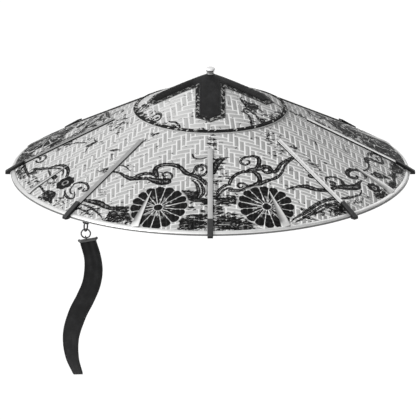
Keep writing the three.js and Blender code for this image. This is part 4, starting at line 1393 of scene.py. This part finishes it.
class HAT_OT_crown(bpy.types.Operator):
    """Weaves the crown disc and lays its twisted edging"""

    bl_idname = "hat.crown"
    bl_label = "Crown Disc"

    def execute(self, context):
        sizes, colours = context.scene.hat_sizes, context.scene.hat_colours
        woven_piece(
            context, "crown", "crown_disc", DISC_WEAVE, *DISC_BAND, lambda r: crown_height(r) - GAP,
            DISC_THICKNESS - GAP, (SPRIGS, SPRIG_BLOSSOMS, DISC_FIELDS, False))

        hang = DISC_RADIUS + GAP
        inner, outer = hang - RING_WIDTH, DISC_RADIUS + RING_OVERHANG
        below, ground = cone_height(hang) + GAP, crown_height(inner + 1)
        lip, crest = crown_height(outer) + 0.5, crown_height(EDGING_CREST) + 0.9
        under = [
            (hang, below), (hang, lip - 0.2), (inner + 1, ground + GAP), (inner + 1, ground + 0.9),
            (outer - 0.5, lip + 0.2), (outer - 0.1, lip - 0.1), (outer - 0.1, below - 0.4)]
        over = [
            (outer, lip), (outer - 0.1, lip + 0.35), (outer - 0.6, lip + 0.75),
            (EDGING_CREST, crest + 0.15), (inner + 0.7, crest + 0.75), (inner + 0.1, crest + 0.6),
            (inner, crest + 0.25), (inner + 0.1, crest - 0.1), (outer - 0.3, lip - 0.2)]
        core = shaped("edging", lathe(over, ROUND_SIDES), finish(
            "edging_core", twill_look, grey(0.01), 0.8, Specular_IOR_Level=0.15))
        wall = shaped("edging_wall", lathe(under[::-1], ROUND_SIDES), finish(
            "edging_wall", twill_look, tinted(colours.strip, 0.8), 0.8))
        chance = np.random.default_rng(7)
        rows = []
        for radius in EDGING_ROWS:
            count = round(2 * math.pi * radius / (sizes.cord_width / MM * 1.02))
            for k in range(count):
                turn = 2 * math.pi * k / count
                out, run = (math.cos(turn), math.sin(turn)), (-math.sin(turn), math.cos(turn))
                rows.append(on_crown(Vector(out) * radius, Vector(run), 38, 1.0, chance.random() * 0.6))
        thread = finish(
            "edging_thread", strand_look, grey(0.01), (0.45, 0.45, 0.44, 1), Specular_IOR_Level=0.15)
        strands = laid_strands(
            "edging_strands", rows, thread, sizes.cord_length, sizes.cord_width, sizes.cord_width * 0.6)
        stand_for(joined_piece("edging", [core, wall, strands]), "edging", "crown_ring")
        return {"FINISHED"}


class HAT_OT_cross(bpy.types.Operator):
    """Cuts the leather cross and lays the braid round it"""

    bl_idname = "hat.cross"
    bl_label = "Cross and Braid"

    def execute(self, context):
        sizes, colours = context.scene.hat_sizes, context.scene.hat_colours

        # Painted shade: the side arms are darker than the front arm
        def shaded_side_arms(tree):
            return tree.step(14.0, 24.0, abs(tree.parts(tree.place())[0])) * 0.8

        strap = shaped("cross", cross_layer(), finish(
            "cross_leather", leather_look, tinted(colours.black, 2), 1.5, shaded_side_arms,
            Specular_IOR_Level=0.08))
        stand_for(strap, "cross_leather", "cross_strap", sharp=50)

        outline = cross_outline()
        band = shaped("braid", swept_round(outline, BRAID_SECTION, 3.0), finish(
            "braid_ground", twill_look, grey(0.012), 0.6))
        chance = np.random.default_rng(11)
        spacing = sizes.braid_width / MM * 0.95
        rows = []
        for offset, slant, shift in ((1.9, 34, 0), (3.8, -34, 1)):
            for k, (place, run) in enumerate(along_outline(grown(outline, offset), spacing)):
                white = (k + shift) % WHITE_EVERY == 0
                value = 0.75 if white ^ (chance.random() < 0.08) else 0.25
                rows.append(on_crown(place, run, slant, GAP + 0.62, value))
        thread = finish(
            "braid_thread", strand_look, grey(0.01), (0.26, 0.26, 0.255, 1), Specular_IOR_Level=0.15)
        strands = laid_strands(
            "braid_strands", rows, thread, sizes.braid_length, sizes.braid_width, 0.9 * MM)
        rows = [
            on_crown(place, run, 32, GAP + 0.75, chance.random())
            for offset in (0.8, 4.9) for place, run in along_outline(grown(outline, offset), 1.1)]
        cord = finish("braid_cord", strand_look, grey(0.025), grey(0.14), Specular_IOR_Level=0.15)
        cords = laid_strands("braid_cords", rows, cord, 1.9 * MM, 0.8 * MM, 0.6 * MM)
        stand_for(joined_piece("braid", [band, strands, cords]), "braid", "cross_trim")
        return {"FINISHED"}


class HAT_OT_finial(bpy.types.Operator):
    """Turns the small knob on the crown"""

    bl_idname = "hat.finial"
    bl_label = "Finial"

    def execute(self, context):
        seat = CONE_HEIGHTS[0] + 3 * GAP + DISC_THICKNESS + CROSS["thickness"]
        metal = finish("knob_metal", knob_look, seat - SEAT_HEIGHT, Coat_Weight=0.4, Coat_Roughness=0.15)
        profile = [(r, seat + z) for r, z in FINIAL_PROFILE]
        knob = shaped("knob", lathe(profile, KNOB_SIDES, closed=False), metal)
        stand_for(knob, "knob", "finial", sharp=40)
        return {"FINISHED"}


def tongue_half(radius):
    """Half of a tongue's width at a radius, and the share of its length there"""
    along = np.clip((radius - TONGUE["tip"]) / (TONGUE["base"] - TONGUE["tip"]), 0, 1)
    return (TONGUE["tip_width"] + (TONGUE["width"] - TONGUE["tip_width"]) * along) / 2, along


def tongue(turn):
    """One tapered tongue of the rim: thin along its left side, with a rounded step along its right"""
    loops = []
    for r in np.linspace(TONGUE["tip"], TONGUE["base"], 15):
        half, along = tongue_half(r)
        low, high = TONGUE["low"], TONGUE["tip_high"] + (TONGUE["high"] - TONGUE["tip_high"]) * along
        floor = (cone_height(r) if r <= CONE_RADII[-1] else 3.4) + GAP
        shape = [
            (-half, 0), (half, 0), (half, high * 0.7), (half * 0.97, high * 0.92), (half * 0.88, high),
            (half * 0.6, high * 0.9), (0, low + (high - low) * 0.5),
            (-half * 0.6, low + (high - low) * 0.15), (-half * 0.97, low * 0.9), (-half, low * 0.5)]
        loops.append([(x, -r, floor + z) for x, z in shape])
    return moved(loft(loops), turn=turned("Z", turn))


class HAT_OT_rim(bpy.types.Operator):
    """Rolls the rim's binding and lays its tongues on the weave"""

    bl_idname = "hat.rim"
    bl_label = "Rim"

    def execute(self, context):
        colours = context.scene.hat_colours
        parts = [lathe(RIM_PROFILE[::-1], RIM_SIDES)]
        parts += [tongue((k + 0.5) * 360 / RIB_COUNT) for k in range(RIB_COUNT)]
        grain = (0.3, 0.3, 2.5)
        metal = finish("rim_metal", metal_look, colours.metal, 0.36, grain, 0.75, Metallic=0.6)
        # Painted shade: faces that turn sideways or down take a darker copy of the same metal
        edge = finish("rim_shaded_edge", metal_look, tinted(colours.metal, 0.2), 0.42, grain, Metallic=0.5)
        mesh = new_mesh("rim", merged(parts), metal)
        mesh.materials.append(edge)
        for face in mesh.polygons:
            face.material_index = int(face.normal.z < 0.55)
        # The tongues' thin sides take painted shade, up to the binding
        azimuth, radius = polar(places_of(mesh)[:, :2])
        turn = np.radians(azimuth % (360 / RIB_COUNT) - 180 / RIB_COUNT)
        thin = np.clip(0.45 - turn * radius / tongue_half(radius)[0] * 0.75, 0, 1)
        store(mesh, "hollow", thin * np.clip((CONE_RADII[-1] - radius) / 6, 0, 1))
        stand_for(new_piece("rim", mesh), "pale_metal", "rim_band", sharp=40)
        return {"FINISHED"}


def rib_part():
    """One rib, pointing to the front, with its edges eased"""
    start, ease = RIB["start"], 0.35
    loops = []
    for r in (start, start + ease, *np.linspace(start, RIB["end"], 20)[1:]):
        top, side = RIB["height"] - (ease if r == start else 0), RIB["width"] / 2
        side -= ease * 0.6 if r == start else 0
        shape = [
            (-side, GAP), (side, GAP), (side, top - 0.5), (side - 0.15, top - 0.15), (side - 0.5, top),
            (0, top), (-side + 0.5, top), (-side + 0.15, top - 0.15), (-side, top - 0.5)]
        loops.append([(x, -r, cone_height(r) + z) for x, z in shape])
    return loft(loops)


def cap_part():
    """One cap over a rib's end and the rim, pointing to the front, with its edges eased"""
    start, edge, end = RIB["end"] + GAP, RIM_RADIUS + GAP, CAP["end"]
    ground, top, bottom = cone_height(start), CAP["top"], CAP["bottom"]
    seat = [(start, ground), *zip(CONE_RADII[-2:], CONE_HEIGHTS[-2:]), (238, 3.9), (edge, 2)]
    outline = [(r, z + GAP) for r, z in seat] + [
        (edge, bottom), (end - 0.5, bottom), (end - 0.12, bottom + 0.14), (end, bottom + 0.6),
        (end, top - 0.9), (end - 0.3, top - 0.2), (end - 1.0, top + 0.25), (start + 0.5, ground + 4.4),
        (start + 0.1, ground + 4.3), (start, ground + 3.9)]
    half = CAP["width"] / 2
    loops = []
    for x, inset in ((-half, 0.5), (-half + 0.12, 0.2), (-half + 0.45, 0), (-1, 0), (1, 0),
                     (half - 0.45, 0), (half - 0.12, 0.2), (half, 0.5)):
        loops.append([(x, -r, z) for r, z in reversed(grown(outline, -inset) if inset else outline)])
    return loft(loops)


class HAT_OT_ribs(bpy.types.Operator):
    """Shapes one rib and one cap and repeats them round the cone"""

    bl_idname = "hat.ribs"
    bl_label = "Ribs and Caps"

    def execute(self, context):
        colours = context.scene.hat_colours
        # The ribs take painted shade towards -x, by the share 0.54
        metal = finish(
            "rib_metal", metal_look, colours.metal, 0.34, (2.2, 0.25, 0.25), 0.0, 0.54, Metallic=0.6)
        side = finish("dark_sides", enamel_look, tinted(colours.cap, 0.3), Specular_IOR_Level=0.2)
        enamel = finish("cap_enamel", enamel_look, colours.cap, Specular_IOR_Level=0.4)
        for name, part, surface, slot, node in (
                ("ribs", rib_part(), metal, "pale_metal", "rib"),
                ("rib_caps", cap_part(), enamel, "cap_black", "rib_cap")):
            piece = round_tree(name + "_round_the_rim", surface, side).grow(shaped(name, part))
            stand_for(piece, slot, *(f"{node}_{k + 1}" for k in range(RIB_COUNT)), sharp=40)
        return {"FINISHED"}


def staple_part():
    """The hidden staple: a bar under the rim with rounded bends and two legs"""
    half, bend = STAPLE["span"] / 2, 1.2
    leg = [(half, STAPLE["top"])]
    for step in range(7):
        a = math.pi / 2 * step / 6
        leg.append((half - bend + bend * math.cos(a), STAPLE["bottom"] + (bend - bend * math.sin(a))))
    line = [(-x, 0, z) for x, z in leg] + [(x, 0, z) for x, z in leg[::-1]]
    return wire(line, STAPLE["wire"] / 2, closed=False)


def round_wire(width, height, thickness, plane, steps=48, shift=0.0, power=1):
    """A closed wire round an oval, which is fuller than an ellipse for a power below 1"""
    line = []
    for step in range(steps):
        a = 2 * math.pi * (step + shift) / steps
        across, up = (
            half * math.copysign(abs(share) ** power, share)
            for half, share in ((width / 2, math.cos(a)), (height / 2, math.sin(a))))
        line.append((across, 0, up) if plane == "XZ" else (0, across, up))
    return wire(line, thickness / 2)


def clamp_parts():
    """The strap's clamp about the middle of its bar: a folded bar, ball ends and a loop"""
    half, deep, high = CLAMP["length"] / 2, CLAMP["depth"] / 2, CLAMP["height"] / 2
    slot = CLAMP_SLOT["depth"] / 2
    roof = -high + CLAMP_SLOT["height"] - GAP
    outline = [
        (-deep, -high + 0.2), (-deep + 0.15, -high), (-slot - 0.1, -high), (-slot, -high + 0.1),
        (-slot, roof), (slot, roof), (slot, -high + 0.1), (slot + 0.1, -high), (deep - 0.15, -high),
        (deep, -high + 0.2), (deep, high - 1.1), (deep - 0.3, high - 0.35), (deep - 1, high),
        (-deep + 1, high), (-deep + 0.3, high - 0.35), (-deep, high - 1.1)]
    loops = []
    for x, inset in ((-half, 0.12), (-half + 0.15, 0), (-7, 0), (0, 0), (7, 0), (half - 0.15, 0),
                     (half, 0.12)):
        loops.append([(x, y, z) for y, z in (grown(outline, -inset) if inset else outline)])
    parts = [loft(loops)]
    r = CLAMP_BALL["radius"]
    rows = [math.pi * (k + 0.3) / 12.6 for k in range(13)]
    ball = lathe([(r * math.sin(a), -r * math.cos(a)) for a in rows], CLAMP_BALL["sides"], closed=False)
    parts += [moved(ball, (side * half, 0, CLAMP_BALL["lift"])) for side in (-1, 1)]
    across = CLAMP_LOOP["radius"] * 2
    loop = round_wire(across, across, CLAMP_LOOP["wire"], "YZ")
    parts.append(moved(loop, (CLAMP_LOOP["offset"], 0, CLAMP_LOOP["height"])))
    return merged(parts)


class HAT_OT_hardware(bpy.types.Operator):
    """Bends the staple, link and ring and folds the strap's clamp"""

    bl_idname = "hat.hardware"
    bl_label = "Link, Ring and Clamp"

    def execute(self, context):
        colours = context.scene.hat_colours
        steel = finish("dark_steel", metal_look, colours.steel, 0.3, (1.5, 1.5, 1.5), Metallic=0.8)
        ring_steel = finish("ring_steel", metal_look, grey(0.085), 0.36, (1, 1, 1), Metallic=0.6)
        facing = turned("Z", HANG_AZIMUTH)
        wide, high = (LINK[side] - LINK["wire"] for side in ("width", "height"))
        link = round_wire(wide, high, LINK["wire"], "YZ", 40, 0.5, LINK_ROUND)
        ring = round_wire(RING["radius"] * 2, RING["radius"] * 2, RING["wire"], "XZ")
        for name, part, turn, place, node, surface in (
                ("staple", staple_part(), facing, (0, 0, 0), "link_staple", steel),
                ("link", link, facing, (0, 0, LINK["middle"]), "hanging_link", steel),
                ("ring", ring, None, (0, 0, RING["middle"]), "hanging_ring", ring_steel),
                ("clamp", clamp_parts(), turned("Y", -CLAMP["tilt"]),
                 (CLAMP["x"], 0, CLAMP["z"]), "strap_clamp", ring_steel)):
            part = moved(part, np.add(place, (*HANG, 0)), turn)
            stand_for(shaped(name, part, surface), "dark_steel", node, sharp=45)
        return {"FINISHED"}


def strap_part():
    """The strap along its middle line: hemmed edges, a groove beside each hem and soft ends"""
    rows = smooth_rows(STRAP, STRAP_STEPS)
    middle = rows[:, :3]
    along = np.gradient(middle, axis=0)
    along /= np.linalg.norm(along, axis=1)[:, None]
    loops = []
    for k, (run, row) in enumerate(zip(along, rows)):
        run = Vector(run)
        across = Vector((0, 1, 0)).cross(run).normalized()
        turn = math.radians(row[4])
        across = across * math.cos(turn) + run.cross(across) * math.sin(turn)
        through = run.cross(across)
        left = len(rows) - 1 - k
        half = row[3] / 2 - {0: 0.5, 1: 0.15}.get(left, 0)
        half = min(half, CLAMP_SLOT["width"] / 2 - GAP) if k < 3 else half
        thick = (1 if 0 < k and 0 < left else 0.7) * (0.8 if k < 10 else 1)
        shape = [(u * half, v * thick) for u, v in STRAP_SECTION]
        shape += [(u, -v) for u, v in reversed(shape)]
        loops.append([tuple(Vector(row[:3]) + across * u + through * v) for u, v in reversed(shape)])
    return loft(loops)


class HAT_OT_strap(bpy.types.Operator):
    """Hangs the black strap from the clamp"""

    bl_idname = "hat.strap"
    bl_label = "Hanging Strap"

    def execute(self, context):
        # Painted shade: the leather is darker along the creases
        def crease_shading(tree):
            return tree.attribute("crease") * 0.65

        leather = finish(
            "strap_leather", leather_look, tinted(context.scene.hat_colours.black, 1.7), 1.2, crease_shading,
            Specular_IOR_Level=0.06)
        mesh = new_mesh("strap", moved(strap_part(), (*HANG, 0)), leather)
        # Painted shade in soft lengthwise creases, which fades out below the clamp
        across = [u for u, _ in STRAP_SECTION]
        across = (across + across[::-1])[::-1]
        ring, side = np.divmod(np.arange(len(mesh.vertices)), len(across))
        crease = np.clip(np.cos(np.array(across)[side] / 0.35 * math.pi), 0, 1)
        store(mesh, "crease", crease * np.exp(-ring / ring.max() * 3.2))
        strap = new_piece("strap", mesh)
        stand_for(strap, "strap_leather", "hanging_strap", sharp=50)
        return {"FINISHED"}


class HAT_OT_stage(bpy.types.Operator):
    """Sets the camera, the pale floor and the soft light"""

    bl_idname = "hat.stage"
    bl_label = "Stage"

    def execute(self, context):
        stage, scene = context.scene.hat_stage, context.scene
        corners = [(x, y, stage.floor_height) for x, y in ((-1, -1), (1, -1), (1, 1), (-1, 1))]
        mesh = bpy.data.meshes.new("floor")
        mesh.from_pydata([(x * FLOOR_HALF, y * FLOOR_HALF, z) for x, y, z in corners], [], [(0, 1, 2, 3)])

        def paper(tree):
            return {"Base Color": tree.mix(tree.noise(tree.place(), 0.02, 2.0), grey(0.93), grey(0.95))}

        mesh.materials.append(finish(
            "pale_floor", paper, Roughness=0.9, Specular_IOR_Level=0.1, Emission_Color=grey(1),
            Emission_Strength=0.15))
        new_piece("floor", mesh)

        target = Vector(LOOK_AT)
        rise = math.radians(VIEW_ELEVATION)
        back = Vector((0, -math.cos(rise), math.sin(rise)))
        lens = bpy.data.cameras.new("camera")
        across = IMAGE_WIDTH / VIEW_PIXELS_PER_MM * MM
        lens.lens = lens.sensor_width * stage.camera_distance / across
        lens.clip_end = 60
        camera = bpy.data.objects.new("camera", lens)
        camera.location = target + back * stage.camera_distance
        camera.rotation_euler = (-back).to_track_quat("-Z", "Y").to_euler()
        scene.collection.objects.link(camera)
        scene.camera = camera

        # The shine from behind shows in reflections only
        for name, angle, strength, source in (
                ("key_light", 35, stage.key_light, (-0.72, -0.48, 0.62)),
                ("fill_light", 60, 0.4, (0.5, -0.8, 0.6)),
                ("shine", 40, 0.4, (0.35, 0.8, 0.5))):
            light = bpy.data.lights.new(name, "SUN")
            light.energy = strength
            light.angle = math.radians(angle)
            sun = bpy.data.objects.new(name, light)
            sun.rotation_euler = Vector(source).to_track_quat("Z", "Y").to_euler()
            sun.visible_diffuse = name != "shine"
            scene.collection.objects.link(sun)
        world = bpy.data.worlds.new("room")
        world.use_nodes = True
        tree = Tree(world.node_tree)
        x, _, height = tree.parts(tree.node("ShaderNodeTexCoord", output="Generated"))
        glow = (0.3 + tree.step(-0.1, 1.0, height) * 0.7) * (0.3 + tree.step(0.6, -0.6, x) * 1.2)
        background = world.node_tree.nodes["Background"]
        tree.feed(background.inputs["Color"], tree.joined(glow, glow, glow))
        background.inputs["Strength"].default_value = stage.sky_light
        scene.world = world
        scene.view_settings.view_transform = "Standard"
        return {"FINISHED"}


OPERATORS = (
    HAT_OT_cone, HAT_OT_crown, HAT_OT_cross, HAT_OT_finial, HAT_OT_rim, HAT_OT_ribs, HAT_OT_hardware,
    HAT_OT_strap, HAT_OT_stage)
GROUPS = {"hat_sizes": HatSizes, "hat_colours": HatColours, "hat_stage": HatStage}


class VIEW3D_PT_samurai_hat(bpy.types.Panel):
    """Lists the hat's sizes, colours and making steps"""

    bl_label = "Samurai Hat"
    bl_space_type = "VIEW_3D"
    bl_region_type = "UI"
    bl_category = "Samurai Hat"

    def draw(self, context):
        for name, group in GROUPS.items():
            box = self.layout.box()
            for label in group.__annotations__:
                box.prop(getattr(context.scene, name), label)
        for operator in OPERATORS:
            self.layout.operator(operator.bl_idname)


def register():
    for item in (*GROUPS.values(), *OPERATORS, VIEW3D_PT_samurai_hat):
        bpy.utils.register_class(item)
    for name, group in GROUPS.items():
        setattr(bpy.types.Scene, name, bpy.props.PointerProperty(type=group))


def unregister():
    for name in GROUPS:
        delattr(bpy.types.Scene, name)
    for item in (VIEW3D_PT_samurai_hat, *reversed(OPERATORS), *GROUPS.values()):
        bpy.utils.unregister_class(item)


def main():
    register()
    for operator in OPERATORS:
        _, step = operator.bl_idname.split(".")
        getattr(bpy.ops.hat, step)()
    bpy.context.view_layer.update()


if __name__ == "__main__":
    main()
